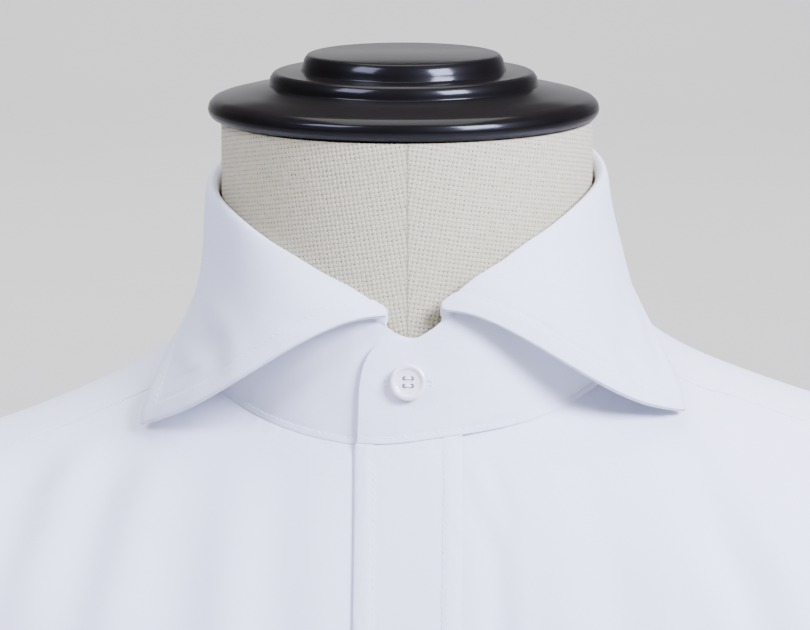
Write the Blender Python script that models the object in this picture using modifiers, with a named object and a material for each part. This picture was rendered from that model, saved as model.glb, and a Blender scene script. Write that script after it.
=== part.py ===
"""A white dress shirt with a tall cutaway collar, buttoned on a linen tabletop dress form.

Tables are in millimetres. Heights in them are measured from the neck seam at the centre front.
The front of the shirt faces -Y, and the underside of the base is at the origin.
"""

import math

import bmesh
import bpy
import numpy as np
from mathutils import Vector

MM = 0.001
NECK_SEAM_HEIGHT = 800.0
CLOTH = 1.4
LEAF_CLOTH = 1.3
STAND_CLOTH = 1.6
SEAM = 0.2
LAP_GAP = 0.3
SEAM_TILT = 0.45
FIRST_ROW, SEAM_ROWS, SEAM_SHARE = 0.06, 0.5, 0.3

# Shirt body: closed rings from the neck seam down to the hem
# front, back, side: half sizes; the z columns are each ring's heights at front, side and back
# round_z: how the height runs from the side to the centre; square: fullness on the diagonals
# dip: how far the shoulder falls behind its ridge
BODY_RINGS = np.array([
    # front  front_z  side   side_y  side_z  back   back_z  round_z  square  dip
    [73.0,    0.0,    70.0,   0.0,    22.5,   66.0,   45.0,  0.95,  0.00,   0.0],
    [82.0,  -15.0,    93.0,   2.0,    11.5,   77.0,   28.0,  1.30,  0.01,  24.0],
    [95.0,  -44.0,   141.0,   5.0,    -7.5,   92.0,    2.0,  1.70,  0.03,  34.0],
    [109.0, -92.0,   202.0,   6.0,   -32.5,  105.0,  -48.0,  2.00,  0.05,  26.0],
    [121.0, -165.0,  202.0,   5.0,  -138.0,  112.0, -130.0,  2.00,  0.06,   0.0],
    [127.0, -245.0,  188.0,   3.0,  -246.0,  110.0, -240.0,  2.00,  0.05,   0.0],
    [114.0, -420.0,  176.0,   2.0,  -420.0,  100.0, -420.0,  2.00,  0.04,   0.0],
    [120.0, -575.0,  184.0,   2.0,  -560.0,  110.0, -580.0,  2.00,  0.03,   0.0],
    [122.0, -700.0,  188.0,   2.0,  -640.0,  114.0, -716.0,  1.60,  0.03,   0.0],
])
NECK, SHOULDER, ARMPIT, HEM = 0.0, 3.0, 5.0, 8.0

# Soft vertical folds in the lower body: angle from the front, width, depth, ring where one starts
BODY_FOLDS = [
    # angle  width  depth  start
    (38.0,   9.0,   4.0,   4.2),
    (-44.0,  10.0,  4.5,   4.4),
    (66.0,   8.0,  -4.0,   5.2),
    (-70.0,  8.0,   5.0,   5.4),
    (112.0,  9.0,   6.0,   5.0),
    (-118.0, 10.0,  6.5,   5.2),
    (146.0,  10.0, -5.0,   4.6),
    (-152.0, 9.0,   5.5,   4.8),
    (178.0,  9.0,   6.0,   5.6),
]

# Placket and front edges, as distances from the centre front
PLACKET_INNER, PLACKET_OUTER = -17.9, 15.0
FRONT_SPLIT = 9.0

# Front yoke seam: angle from the front at each of these rings
YOKE_SEAM = np.array([[0.0, 76.0], [0.5, 75.0], [1.0, 74.2], [1.6, 74.0], [2.2, 75.5], [2.7, 78.5]])
YOKE_CORNER_TURN = 19.5
BACK_CORNER_TURN = 49.5
ARMHOLE_FRONT, ARMHOLE_BACK = 27.0, 24.0

# Collar: height of the roll at each angle from the front
ROLL_HEIGHT = np.array([
    [0.0, 38.0], [8.0, 42.3], [17.0, 48.9], [35.0, 58.0],
    [61.0, 68.3], [90.0, 74.6], [130.0, 81.0], [180.0, 83.5],
])
ROLL_SIDE, ROLL_FRONT, ROLL_BACK = 63.3, 65.6, 68.5
ROLL_RADIUS = 1.9
LEG_DROP = 4.2
STAND_END, STAND_END_LOW = 14.0, 0.42
STAND_SWELL, STAND_LEAN = 0.4, 16.0
LAP = STAND_CLOTH + LAP_GAP
LAP_FADE, LAP_RISE = 26.0, 0.6

# Collar leaf, one row for each angle on the roll, from the centre back to the front corner
# edge: the leaf's outer edge; start and end: how the leaf leaves the roll and reaches its edge
LEAF_ROWS = np.array([
    # angle  edge_x  edge_y  edge_z  start_x  start_y  start_z  end_x  end_y  end_z
    [180.0,   0.0,   79.0,   38.5,    0.0,     1.0,   -16.0,    0.0,   -3.0,  14.0],
    [140.0,  51.0,   60.0,   35.5,    1.0,     1.0,   -18.0,   -3.0,   -3.0,  13.5],
    [110.0,  70.0,   28.0,   31.0,    4.2,     1.8,   -21.0,   -4.0,   -1.0,  12.5],
    [82.0,   78.2,   -6.0,   22.3,    2.6,     0.0,   -22.0,   -8.5,    0.0,  12.0],
    [58.0,   81.6,  -23.0,   16.0,    5.0,    -3.0,   -18.0,  -12.0,   -8.0,  11.5],
    [34.0,   84.6,  -33.0,   10.0,   12.0,    -6.5,   -10.0,  -19.0,  -19.0,  10.0],
    [18.0,   86.3,  -37.5,    5.2,   18.0,    -8.0,    -3.0,  -23.0,  -27.0,   8.5],
    [7.5,    87.1,  -40.0,    1.2,   21.7,    -8.5,     1.0,  -25.0,  -32.0,   6.8],
])
LEAF_STEPS = [0.16, 0.36, 0.57, 0.79, 1.0]
FRONT_EDGE_RISE = {1: -0.6, -1: 3.6}
LEAF_CORNER, RISE_FADE = 7.5, 40.0

# Sleeve: outer line and inner line of the arm, half depth from front to back
SLEEVE_ROWS = np.array([
    # outer_x outer_z  inner_x inner_z  depth
    [202.0,  -31.0,   188.0,  -246.0,   62.0],
    [222.0,  -40.0,   197.0,  -248.0,   67.0],
    [239.0,  -64.0,   203.0,  -256.0,   73.0],
    [250.0, -112.0,   206.0,  -272.0,   79.0],
    [255.0, -190.0,   207.0,  -310.0,   82.0],
    [255.0, -290.0,   206.0,  -370.0,   80.0],
    [253.0, -390.0,   206.0,  -435.0,   75.0],
    [251.0, -480.0,   206.0,  -505.0,   69.0],
    [250.0, -555.0,   207.0,  -568.0,   60.0],
    [249.0, -592.0,   208.0,  -598.0,   52.0],
])
SLEEVE_MIDDLE, MIDDLE_SHIFT = 4.0, 0.9
SLEEVE_HEAD, SLEEVE_ENDS = 2.6, (0.15, 8.95)
FOLD_OUTWARDS = 0.35
CUFF_LENGTH = 64.0
CUFF_EASE, CUFF_DROP, CUFF_NARROWING = 0.6, 0.5, 4.0
CUFF_MIDDLE = SLEEVE_MIDDLE - MIDDLE_SHIFT * (len(SLEEVE_ROWS) - 1)
SLEEVE_FOLDS = [
    # turn   width  depth  centre  length (in rows)
    (95.0,   20.0,  -5.0,   4.6,   1.7),
    (60.0,   16.0,   4.0,   6.4,   1.4),
    (265.0,  22.0,  -5.5,   5.4,   1.8),
    (300.0,  18.0,   4.0,   7.4,   1.2),
    (20.0,   16.0,  -3.5,   6.8,   1.6),
    (200.0,  18.0,  -4.0,   7.6,   1.3),
]

# Dress form: the same kind of rings, from the neck's top down
FORM_RINGS = np.array([
    # front  front_z  side   side_y  side_z  back   back_z  round_z  square  dip
    [62.0,   92.0,    60.25,  0.0,    92.0,   62.0,   92.0,  1.00,  0.00,   0.0],
    [62.0,   66.0,    60.25,  0.0,    72.0,   62.0,   76.0,  1.00,  0.00,   0.0],
    [62.0,   32.0,    60.25,  0.0,    46.0,   61.5,   62.0,  1.00,  0.00,   0.0],
    [64.0,    2.0,    63.50,  0.0,    21.0,   60.5,   38.0,  1.00,  0.00,   0.0],
    [75.0,  -24.0,    88.00,  2.0,     2.5,   70.0,   14.0,  1.30,  0.01,  22.0],
    [87.0,  -55.0,   134.00,  5.0,   -18.0,   84.0,  -13.0,  1.70,  0.03,  32.0],
    [99.0, -102.0,   182.00,  6.0,   -45.0,   96.0,  -64.0,  2.00,  0.05,  26.0],
    [110.0, -170.0,  188.00,  5.0,  -142.0,  102.0, -142.0,  2.00,  0.05,   0.0],
    [112.0, -248.0,  168.00,  3.0,  -248.0,   98.0, -248.0,  2.00,  0.04,   0.0],
    [94.0,  -420.0,  146.00,  2.0,  -420.0,   80.0, -420.0,  2.00,  0.03,   0.0],
    [98.0,  -540.0,  158.00,  2.0,  -540.0,   90.0, -540.0,  2.00,  0.02,   0.0],
    [92.0,  -616.0,  152.00,  2.0,  -616.0,   84.0, -616.0,  2.00,  0.01,   0.0],
])

# Turned pieces: radius and height, from the top down; cap heights are from its underside
CAP_SHIFT = -1.1
CAP_PROFILE = [
    (0.0, 21.0), (30.2, 21.0), (31.6, 20.2), (32.6, 17.8), (33.1, 15.3),
    (41.6, 15.3), (43.2, 14.0), (43.6, 11.8), (43.4, 10.9), (52.5, 9.2), (60.6, 7.1),
    (63.0, 5.4), (63.5, 3.3), (62.9, 1.3), (61.0, 0.0), (0.0, 0.0),
]
STEM_PROFILE = [
    (0.0, 0.0), (17.0, 0.0), (17.0, -8.0), (22.0, -14.0), (22.0, -22.0), (15.0, -30.0),
    (13.0, -60.0), (16.0, -90.0), (26.0, -104.0), (30.0, -110.0), (0.0, -110.0),
]
BASE_PROFILE = [
    (0.0, 26.0), (46.0, 26.0), (60.0, 24.0), (110.0, 18.5), (128.0, 15.0),
    (136.0, 11.0), (138.0, 6.5), (136.0, 2.0), (133.0, 0.0), (0.0, 0.0),
]
BASE_HEIGHT = 26.0
TURNED_STEPS, STEM_STEPS, BUTTON_STEPS = 40, 24, 14
TORSO_COLUMNS = 32

# Buttons: radius and height, from the middle of the top out and round to the underside
BUTTON_PROFILE = [
    (0.0, 1.6), (2.912, 1.6), (4.032, 2.4), (5.152, 2.2), (5.6, 1.32), (4.48, 0.0), (0.0, 0.0),
]
COLLAR_BUTTON_HEIGHT, STAND_HEIGHT = 19.0, 33.0
FIRST_BUTTON_DROP, BUTTON_SPACING, FRONT_BUTTONS = 66.0, 88.0, 7
BUTTON_GAP = 0.4
CUFF_BUTTON_TURN = 40.0

# How the worn shirt sits: lifted on its left, and a little to that side at the collar
SETTLE_LIFT, SETTLE_REACH = 1.9, 14.0
SHOULDER_LIFT, SHOULDER_LIFT_FROM = 0.035, 80.0
SETTLE_SWAY, SWAY_AT_ROLL = 1.9, 0.0
SHOULDER_LIFT_WIDTH = 60.0
# each pair: the height where a change starts, and how far it takes to end
LIFT_FADE, SWAY_FADE, ROLL_FADE = (60.0, 320.0), (10.0, 180.0), (40.0, 30.0)


def smooth_rows(table, at):
    """Rows of a table read at a fractional row number, along smooth curves through the rows."""
    last = len(table) - 1
    row = int(min(max(math.floor(at), 0), last - 1))
    part = at - row
    here, there = table[row], table[row + 1]
    before = table[row - 1] if row > 0 else 2 * here - there
    after = table[row + 2] if row + 2 <= last else 2 * there - here
    return 0.5 * (
        2 * here
        + (there - before) * part
        + (2 * before - 5 * here + 4 * there - after) * part**2
        + (3 * here - before - 3 * there + after) * part**3
    )


def row_at(column, value):
    """The fractional row number where a rising or falling column reaches a value."""
    rows = np.arange(len(column))
    if column[0] > column[-1]:
        return float(np.interp(value, column[::-1], rows[::-1]))
    return float(np.interp(value, column, rows))


def unit(vector):
    return vector / max(np.linalg.norm(vector), 1e-9)


def ease(value):
    value = min(max(value, 0.0), 1.0)
    return value * value * (3 - 2 * value)


def ring_point(ring, angle):
    """A point of a ring at an angle in degrees, 0 at the centre front and 90 at the left side."""
    front, front_z, side, side_y, side_z, back, back_z, round_z, square, dip = ring
    across, along = math.sin(math.radians(angle)), math.cos(math.radians(angle))
    fuller = 1 + square * (2 * across * along) ** 2
    depth, end_z = (front, front_z) if along >= 0 else (back, back_z)
    reach = abs(along)
    height = side_z + (end_z - side_z) * reach**round_z
    if along < 0:
        height -= dip * reach**1.4 * across**4
    return np.array([
        side * across * fuller,
        side_y * (1 - along**2) - math.copysign(depth * reach * fuller, along),
        height,
    ])


def body_point(angle, row):
    """The shirt's outer surface, with its folds."""
    point = ring_point(smooth_rows(BODY_RINGS, row), angle)
    out = unit(np.array([point[0], point[1], 0.0]))
    push = 0.0
    for at, width, depth, start in BODY_FOLDS:
        away = (angle - at + 180) % 360 - 180
        push += depth * math.exp(-((away / width) ** 2)) * ease((row - start) / 2.2)
    return point + out * push


def roll_point(angle, lift=0.0):
    """The plan of the collar's roll, lift beyond it, at the roll's height."""
    across, along = math.sin(math.radians(angle)), math.cos(math.radians(angle))
    depth = ROLL_FRONT if along >= 0 else ROLL_BACK
    out = unit(np.array([across / ROLL_SIDE, -along / depth, 0.0]))
    folded = abs((angle + 180) % 360 - 180)
    row = row_at(ROLL_HEIGHT[:, 0], folded)
    height = smooth_rows(ROLL_HEIGHT, row)[1]
    return np.array([ROLL_SIDE * across, -depth * along, height]) + out * lift, out


def lap_of(angle):
    """How far the wearer's left end of the stand lies out, over the right end."""
    return LAP * (1 - ease((angle - STAND_END) / LAP_FADE))


def stand_point(angle, share):
    """The stand's outer surface, from the neck seam at 0 to its top edge at 1; its ends are round."""
    low = ring_point(BODY_RINGS[0], angle)
    top, out = roll_point(angle)
    top = top - out * (ROLL_RADIUS - STAND_CLOTH)
    top[2] -= ROLL_RADIUS + LEG_DROP + LAP_GAP
    past = min(angle + STAND_END, 360 + STAND_END - angle)
    corner = math.sqrt(max(1 - (1 - min(past / STAND_END, 1.0)) ** 2, 0.0))
    share = share * (STAND_END_LOW + (1 - STAND_END_LOW) * corner)
    swell = out * STAND_SWELL * math.sin(math.pi * share)
    lap = lap_of(angle)
    clear = np.array([0.0, 0.0, LAP_RISE * lap * (1 - share)])
    return low + (top - low) * share + out * lap + swell + clear


def normal_of(surface, first, second, steps=(0.8, 0.03)):
    """The unit normal of a two-way surface, by small steps along both ways."""
    one = surface(first + steps[0], second) - surface(first - steps[0], second)
    two = surface(first, second + steps[1]) - surface(first, second - steps[1])
    return unit(np.cross(one, two))


def seam_normal(angle):
    """The direction of the wall's thickness at the neck seam, shared by the stand and the body."""
    out = ring_point(BODY_RINGS[0], angle)
    return unit(unit(np.array([out[0], out[1], 0.0])) + np.array([0.0, 0.0, SEAM_TILT]))


def body_normal(angle, row):
    at = max(row, FIRST_ROW)
    normal = normal_of(body_point, angle, at)
    if normal[:2] @ body_point(angle, at)[:2] < 0:
        normal = -normal
    share = ease(row / SEAM_ROWS)
    return unit(seam_normal(angle) * (1 - share) + normal * share)


def stand_normal(angle, share):
    out = ring_point(BODY_RINGS[0], angle)
    level = unit(np.array([out[0], out[1], STAND_LEAN]))
    part = ease(share / SEAM_SHARE)
    return unit(seam_normal(angle) * (1 - part) + level * part)


def settle(point):
    """How the worn shirt sits: higher on its left side, and pushed that way below the roll."""
    x, y, z = point
    fade = 1 - ease((-z - LIFT_FADE[0]) / LIFT_FADE[1])
    side = math.tanh(x / SETTLE_REACH)
    beyond = min(max(abs(x) - SHOULDER_LIFT_FROM, 0.0), SHOULDER_LIFT_WIDTH)
    lift = SETTLE_LIFT * side + SHOULDER_LIFT * math.copysign(beyond, x)
    sway = SETTLE_SWAY + (SWAY_AT_ROLL - SETTLE_SWAY) * ease((z - ROLL_FADE[0]) / ROLL_FADE[1])
    sway_fade = 1 - ease((-z + SWAY_FADE[0]) / SWAY_FADE[1])
    return np.array([x + sway * sway_fade, y, z + lift * fade])


def to_world(point):
    return [point[0] * MM, point[1] * MM, (point[2] + NECK_SEAM_HEIGHT) * MM]


def material(name, colour, roughness):
    made = bpy.data.materials.new(name)
    made.use_nodes = True
    shader = made.node_tree.nodes["Principled BSDF"]
    shader.inputs["Base Color"].default_value = (*colour, 1.0)
    shader.inputs["Roughness"].default_value = roughness
    shader.inputs["Metallic"].default_value = 0.0
    return made


def add_object(name, mesh, finish):
    made = bpy.data.objects.new(name, mesh)
    made.data.materials.append(finish)
    PARTS.objects.link(made)
    mesh.shade_smooth()
    mesh.set_sharp_from_angle(angle=math.radians(50))
    return made


def wall(name, outer, inner, finish, ring=False):
    """A cloth wall between two grids of points; ring joins the last column to the first."""
    rows, columns = outer.shape[:2]
    mesh = bpy.data.meshes.new(name)
    shape = bmesh.new()
    sides = [
        [[shape.verts.new(to_world(point)) for point in row] for row in grid]
        for grid in (outer, inner)
    ]
    spans = columns if ring else columns - 1
    for grid in sides:
        for i in range(rows - 1):
            for j in range(spans):
                k = (j + 1) % columns
                shape.faces.new((grid[i][j], grid[i][k], grid[i + 1][k], grid[i + 1][j]))
    out, inside = sides
    for i in (0, rows - 1):
        for j in range(spans):
            k = (j + 1) % columns
            shape.faces.new((out[i][j], out[i][k], inside[i][k], inside[i][j]))
    if not ring:
        for j in (0, columns - 1):
            for i in range(rows - 1):
                shape.faces.new((out[i][j], out[i + 1][j], inside[i + 1][j], inside[i][j]))
    bmesh.ops.recalc_face_normals(shape, faces=shape.faces)
    shape.to_mesh(mesh)
    shape.free()
    return add_object(name, mesh, finish)


def trimmed(points, sides):
    """A grid whose named edges are drawn in by the seam's half gap."""
    moved = points.copy()
    if "first_row" in sides:
        moved[0] += drawn_in(points[0], points[1])
    if "last_row" in sides:
        moved[-1] += drawn_in(points[-1], points[-2])
    if "first_column" in sides:
        moved[:, 0] += drawn_in(points[:, 0], points[:, 1])
    if "last_column" in sides:
        moved[:, -1] += drawn_in(points[:, -1], points[:, -2])
    return moved


def drawn_in(edge, beside):
    way = beside - edge
    return SEAM * way / np.linalg.norm(way, axis=1, keepdims=True)


def cloth_piece(name, points, normals, thickness, sides, finish, out_by=0.0, ring=False):
    """A wall whose outer face follows points, moved out, with its seams drawn in."""
    outer = trimmed(points, sides) + normals * out_by
    inner = outer - normals * thickness
    outer, inner = [np.apply_along_axis(settle, 2, grid) for grid in (outer, inner)]
    return wall(name, outer, inner, finish, ring)


def body_grid(angles_rows):
    """Points and normals of the body's surface on a grid of (angle, row) pairs."""
    points = np.array([[body_point(*place) for place in line] for line in angles_rows])
    normals = np.array([[body_normal(*place) for place in line] for line in angles_rows])
    return points, normals


def angle_of_x(x, row):
    """The angle near the centre front whose point lies x from the centre."""
    ring = smooth_rows(BODY_RINGS, row)
    angle = math.degrees(math.asin(x / ring[2]))
    for _ in range(6):
        found = body_point(angle, row)[0]
        angle += math.degrees((x - found) / ring[2])
    return angle


def armhole_place(turn):
    """Angle and row on the armhole; turn is 0 at the shoulder, 90 at the front, 180 at the armpit."""
    wide = ARMHOLE_FRONT if math.sin(math.radians(turn)) >= 0 else ARMHOLE_BACK
    half = (ARMPIT - SHOULDER) / 2
    return 90 - wide * math.sin(math.radians(turn)), SHOULDER + half * (1 - math.cos(math.radians(turn)))


def seam_places():
    """The front yoke seam from the neck to the armhole, as (angle, row)."""
    return [(angle, row) for row, angle in YOKE_SEAM] + [armhole_place(YOKE_CORNER_TURN)]


# Shared stations, so that pieces that meet have the same points along their seam
FRONT_TURNS = np.linspace(YOKE_CORNER_TURN, 180, 9)
BACK_TURNS = np.linspace(-BACK_CORNER_TURN, -180, 7)
YOKE_TURNS = np.linspace(YOKE_CORNER_TURN, -BACK_CORNER_TURN, 4)
SIDE_ROWS = np.linspace(ARMPIT, HEM, 9)[1:]
NECK_BESIDE_PLACKET = [18.5, 26.0, 34.0, 43.0, 53.0, 64.0]
RELAX_ROUNDS, DEGREES_TO_A_ROW = 400, 30.0


def front_places(side, first_x):
    """The grid of one front: rows from the hem up, columns from the centre to the side."""
    centre_x = [first_x, PLACKET_OUTER] if side > 0 else [-FRONT_SPLIT, 0.0, FRONT_SPLIT, -PLACKET_INNER]
    right = [(90.0, row) for row in SIDE_ROWS[::-1]]
    right += [armhole_place(turn) for turn in FRONT_TURNS[::-1]]
    rows = len(right)
    up = np.linspace(0, 1, rows) ** 0.9
    left = [(None, HEM * (1 - share)) for share in up]
    start = centre_x[-1]
    top = [(angle_of_x(start, 0.0), 0.0)] + [(a, 0.0) for a in NECK_BESIDE_PLACKET] + seam_places()
    spread = np.linspace(0, 1, len(top))
    places = []
    for i, share in enumerate(up):
        row = left[i][1]
        line = [(angle_of_x(x, row), row) for x in centre_x]
        first = angle_of_x(start, row)
        low_first, top_first = angle_of_x(start, HEM), top[0][0]
        for j, part in enumerate(spread[1:], start=1):
            low_angle = low_first + (90 - low_first) * part
            ease_right = right[i][0] - (90 + (top[-1][0] - 90) * share)
            ease_left = first - (low_first + (top_first - low_first) * share)
            angle = low_angle * (1 - share) + top[j][0] * share
            angle += ease_right * part + ease_left * (1 - part)
            straight_right = HEM * (1 - share) + top[-1][1] * share
            at = HEM * (1 - share) + top[j][1] * share
            at += (right[i][1] - straight_right) * part
            line.append((angle, at))
        places.append(line)
    return relaxed(places, len(centre_x) + 1)


def relaxed(places, held):
    """A grid evened out inside its edges, so that no cell turns over; the first held columns stay."""
    scale = np.array([DEGREES_TO_A_ROW, 1.0])
    grid = np.array(places) / scale
    for _ in range(RELAX_ROUNDS):
        down, up = grid[:-2, held:-1], grid[2:, held:-1]
        left, right = grid[1:-1, held - 1:-2], grid[1:-1, held + 1:]
        tall = ((up - down) ** 2).sum(axis=2, keepdims=True)
        wide = ((right - left) ** 2).sum(axis=2, keepdims=True)
        lean = ((up - down) * (right - left)).sum(axis=2, keepdims=True)
        twist = grid[2:, held + 1:] - grid[2:, held - 1:-2]
        twist += grid[:-2, held - 1:-2] - grid[:-2, held + 1:]
        mean = (wide * (up + down) + tall * (left + right) - 0.5 * lean * twist) / (2 * (wide + tall))
        grid[1:-1, held:-1] = 0.4 * grid[1:-1, held:-1] + 0.6 * mean
    return grid * scale


def mirrored(places):
    return [[(-angle, row) for angle, row in line] for line in places]


def build_fronts(finish):
    left = front_places(1, FRONT_SPLIT + 2 * SEAM)
    right = mirrored(front_places(-1, 0.0))
    for name, places in (("front_left", left), ("front_right", right)):
        points, normals = body_grid(places)
        sides = ("last_row", "last_column")
        cloth_piece(name, points, normals, CLOTH, sides, finish)
    rows = [line[0][1] for line in left]
    band_x = [PLACKET_INNER, -FRONT_SPLIT, 0.0, FRONT_SPLIT, PLACKET_OUTER]
    band = [[(angle_of_x(x, row), row) for x in band_x] for row in rows]
    points, normals = body_grid(band)
    cloth_piece("placket", points, normals, CLOTH, ("last_row",), finish, CLOTH + LAP_GAP)
    return rows


def yoke_columns():
    """The yoke's outer boundary as (angle, row), from the left front corner to the right one."""
    left = [armhole_place(turn) for turn in YOKE_TURNS]
    corner_angle, corner_row = left[-1]
    back = []
    for angle in np.linspace(corner_angle, 360 - corner_angle, 15)[1:-1]:
        away = (180 - angle) / (180 - corner_angle)
        back.append((angle, SHOULDER + (corner_row - SHOULDER) * away**2))
    right = [(360 - angle, row) for angle, row in left[::-1]]
    return left + back + right


def yoke_neck_angles():
    first = YOKE_SEAM[0][1]
    return np.linspace(first, 360 - first, len(yoke_columns()))


def build_yoke_and_back(finish):
    seam = seam_places()
    outer = yoke_columns()
    neck = yoke_neck_angles()
    places = []
    for i, (seam_angle, seam_row) in enumerate(seam):
        share = seam_row / seam[-1][1]
        line = []
        for j, (end_angle, end_row) in enumerate(outer):
            part = j / (len(outer) - 1)
            bow = seam_angle - (seam[0][0] + (seam[-1][0] - seam[0][0]) * share)
            angle = neck[j] + (end_angle - neck[j]) * share + bow * (1 - 2 * part)
            line.append((angle, end_row * share))
        places.append(line)
    points, normals = body_grid(places)
    sides = ("first_row", "last_row", "first_column", "last_column")
    cloth_piece("yoke", points, normals, CLOTH, sides, finish)

    top = outer[3:-3]
    left = [armhole_place(turn) for turn in BACK_TURNS]
    left += [(90.0, row) for row in SIDE_ROWS]
    down = [0.0]
    for before, after in zip(left, left[1:]):
        down.append(down[-1] + abs(after[1] - before[1]) + 0.01 * abs(after[0] - before[0]))
    places = []
    for i, (side_angle, side_row) in enumerate(left):
        share = down[i] / down[-1]
        line = []
        for j, (top_angle, top_row) in enumerate(top):
            part = j / (len(top) - 1)
            low_angle = 90 + 180 * part
            angle = top_angle + (low_angle - top_angle) * share
            pull = side_angle - (left[0][0] + (90 - left[0][0]) * share)
            angle += pull * (1 - 2 * part)
            side_pull = side_row - (left[0][1] + (HEM - left[0][1]) * share)
            row = top_row + (HEM - top_row) * share + side_pull * abs(1 - 2 * part) ** 2
            line.append((angle, row))
        places.append(line)
    points, normals = body_grid(places)
    cloth_piece("back", points, normals, CLOTH, ("first_row", "first_column", "last_column"), finish)


def stand_angles():
    """Stations of the stand: past the centre, along both fronts and round the yoke."""
    left_x = [FRONT_SPLIT + 2 * SEAM, PLACKET_OUTER]
    right_x = [-PLACKET_INNER, FRONT_SPLIT, 0.0]
    fronts = list(NECK_BESIDE_PLACKET)
    left = [angle_of_x(x, 0.0) for x in left_x]
    right = [360 - angle_of_x(x, 0.0) for x in right_x]
    lead = [-STAND_END, -13.2, -11.5, -9.0, -5.0, 0.0]
    yoke = list(yoke_neck_angles())
    tail = [360 - a for a in lead[:-1][::-1]]
    return lead + left + fronts + yoke + [360 - a for a in fronts[::-1]] + right + tail


def build_stand(finish):
    angles = stand_angles()
    shares = [0.0, 0.12, 0.4, 0.7, 1.0]
    points = np.array([[stand_point(a, s) for a in angles] for s in shares])
    normals = np.array([[stand_normal(a, s) for a in angles] for s in shares])
    cloth_piece("collar_stand", points, normals, STAND_CLOTH, (), finish)


def leaf_profile(angle, side):
    """Outer face of the leaf at one place on the roll: inner leg, roll, then the fall."""
    top, out = roll_point(angle)
    lap = lap_of(angle) if side > 0 else 0.0
    up = np.array([0.0, 0.0, 1.0])
    centre = top + out * lap - up * ROLL_RADIUS
    start = centre + out * ROLL_RADIUS
    leg = centre - out * ROLL_RADIUS
    row = row_at(LEAF_ROWS[:, 0], angle)
    _, ex, ey, ez, sx, sy, sz, nx, ny, nz = smooth_rows(LEAF_ROWS, row)
    edge = np.array([ex, ey, ez])
    rise = FRONT_EDGE_RISE[side] * (1 - ease((angle - LEAF_CORNER) / RISE_FADE))
    first, second = start + [sx, sy, sz + rise], edge + [nx, ny, nz + rise]
    line = [leg - up * LEG_DROP, leg, centre + up * ROLL_RADIUS, start]
    for s in LEAF_STEPS:
        line.append(
            start * (1 - s) ** 3 + first * 3 * s * (1 - s) ** 2
            + second * 3 * s**2 * (1 - s) + edge * s**3
        )
    return np.array(line)


def grid_normals(points):
    """Unit normals of a grid, from its neighbours on both ways."""
    rows = np.gradient(points, axis=0)
    columns = np.gradient(points, axis=1)
    normals = np.cross(columns, rows)
    return normals / np.linalg.norm(normals, axis=2, keepdims=True)


def build_leaf(finish):
    neck = yoke_neck_angles()
    beside = list(NECK_BESIDE_PLACKET) + list(neck[neck < 179.0])
    left = [angle_of_x(x, 0.0) for x in (FRONT_SPLIT + 2 * SEAM, PLACKET_OUTER)] + beside
    right = [angle_of_x(x, 0.0) for x in (FRONT_SPLIT, -PLACKET_INNER)] + beside
    lines = [leaf_profile(a, 1) for a in left] + [leaf_profile(180.0, 1)]
    lines += [mirror_x(leaf_profile(a, -1)) for a in right[::-1]]
    points = np.array(lines).transpose(1, 0, 2)
    normals = grid_normals(points)
    middle = points.shape[1] // 2
    if normals[-2, middle] @ [0.0, 1.0, 0.0] < 0:
        normals = -normals
    cloth_piece("collar_leaf", points, normals, LEAF_CLOTH, (), finish)


def armhole_turns():
    """All turns of the armhole's points, from the front yoke corner round and back."""
    back = [360 + t for t in BACK_TURNS[::-1]]
    yoke = [t + 360 for t in YOKE_TURNS[::-1]][1:-1]
    return list(FRONT_TURNS) + back[1:] + yoke


def sleeve_point(turn, row):
    """The sleeve's outer surface on the left side; row 0 is the armhole."""
    ox, oz, ix, iz, depth = smooth_rows(SLEEVE_ROWS, row)
    middle = np.array([(ox + ix) / 2, SLEEVE_MIDDLE - MIDDLE_SHIFT * row, (oz + iz) / 2])
    half = np.array([(ox - ix) / 2, 0.0, (oz - iz) / 2])
    c, s = math.cos(math.radians(turn)), math.sin(math.radians(turn))
    point = middle + half * c + np.array([0.0, -depth * s, 0.0])
    hole = body_point(*armhole_place(turn))
    ox, oz, ix, iz, depth = SLEEVE_ROWS[0]
    middle = np.array([(ox + ix) / 2, SLEEVE_MIDDLE, (oz + iz) / 2])
    plain = middle + np.array([(ox - ix) / 2 * c, -depth * s, (oz - iz) / 2 * c])
    point = point + (hole - plain) * (1 - ease(row / SLEEVE_HEAD))
    push = 0.0
    for at, width, deep, centre, length in SLEEVE_FOLDS:
        away = (turn - at + 180) % 360 - 180
        push += deep * math.exp(-((away / width) ** 2) - ((row - centre) / length) ** 2)
    return point + np.array([FOLD_OUTWARDS * c, -s, 0.0]) * push


def mirror_x(points):
    return points * np.array([-1.0, 1.0, 1.0])


def build_sleeves(finish):
    turns = armhole_turns()
    rows = [0.0, 0.5, 1.0, 1.6, 2.2, 2.9, 3.6, 4.3, 5.0, 5.7, 6.4, 7.1, 7.8, 8.4, 9.0]
    points = np.array([[sleeve_point(t, r) for t in turns] for r in rows])
    normals = np.array([[sleeve_normal(t, r) for t in turns] for r in rows])
    hole = np.array([body_normal(*armhole_place(t)) for t in turns])
    normals[0] = hole
    normals[1] = normals[1] + 0.5 * hole
    normals /= np.linalg.norm(normals, axis=2, keepdims=True)
    cuff_turns = np.linspace(0, 360, 20, endpoint=False)
    for side, name in ((1, "left"), (-1, "right")):
        place, ways = (points, normals) if side > 0 else (mirror_x(points), mirror_x(normals))
        sides = ("first_row", "last_row")
        cloth_piece(f"sleeve_{name}", place, ways, CLOTH, sides, finish, ring=True)
        build_cuff(side, name, cuff_turns, finish)


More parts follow.
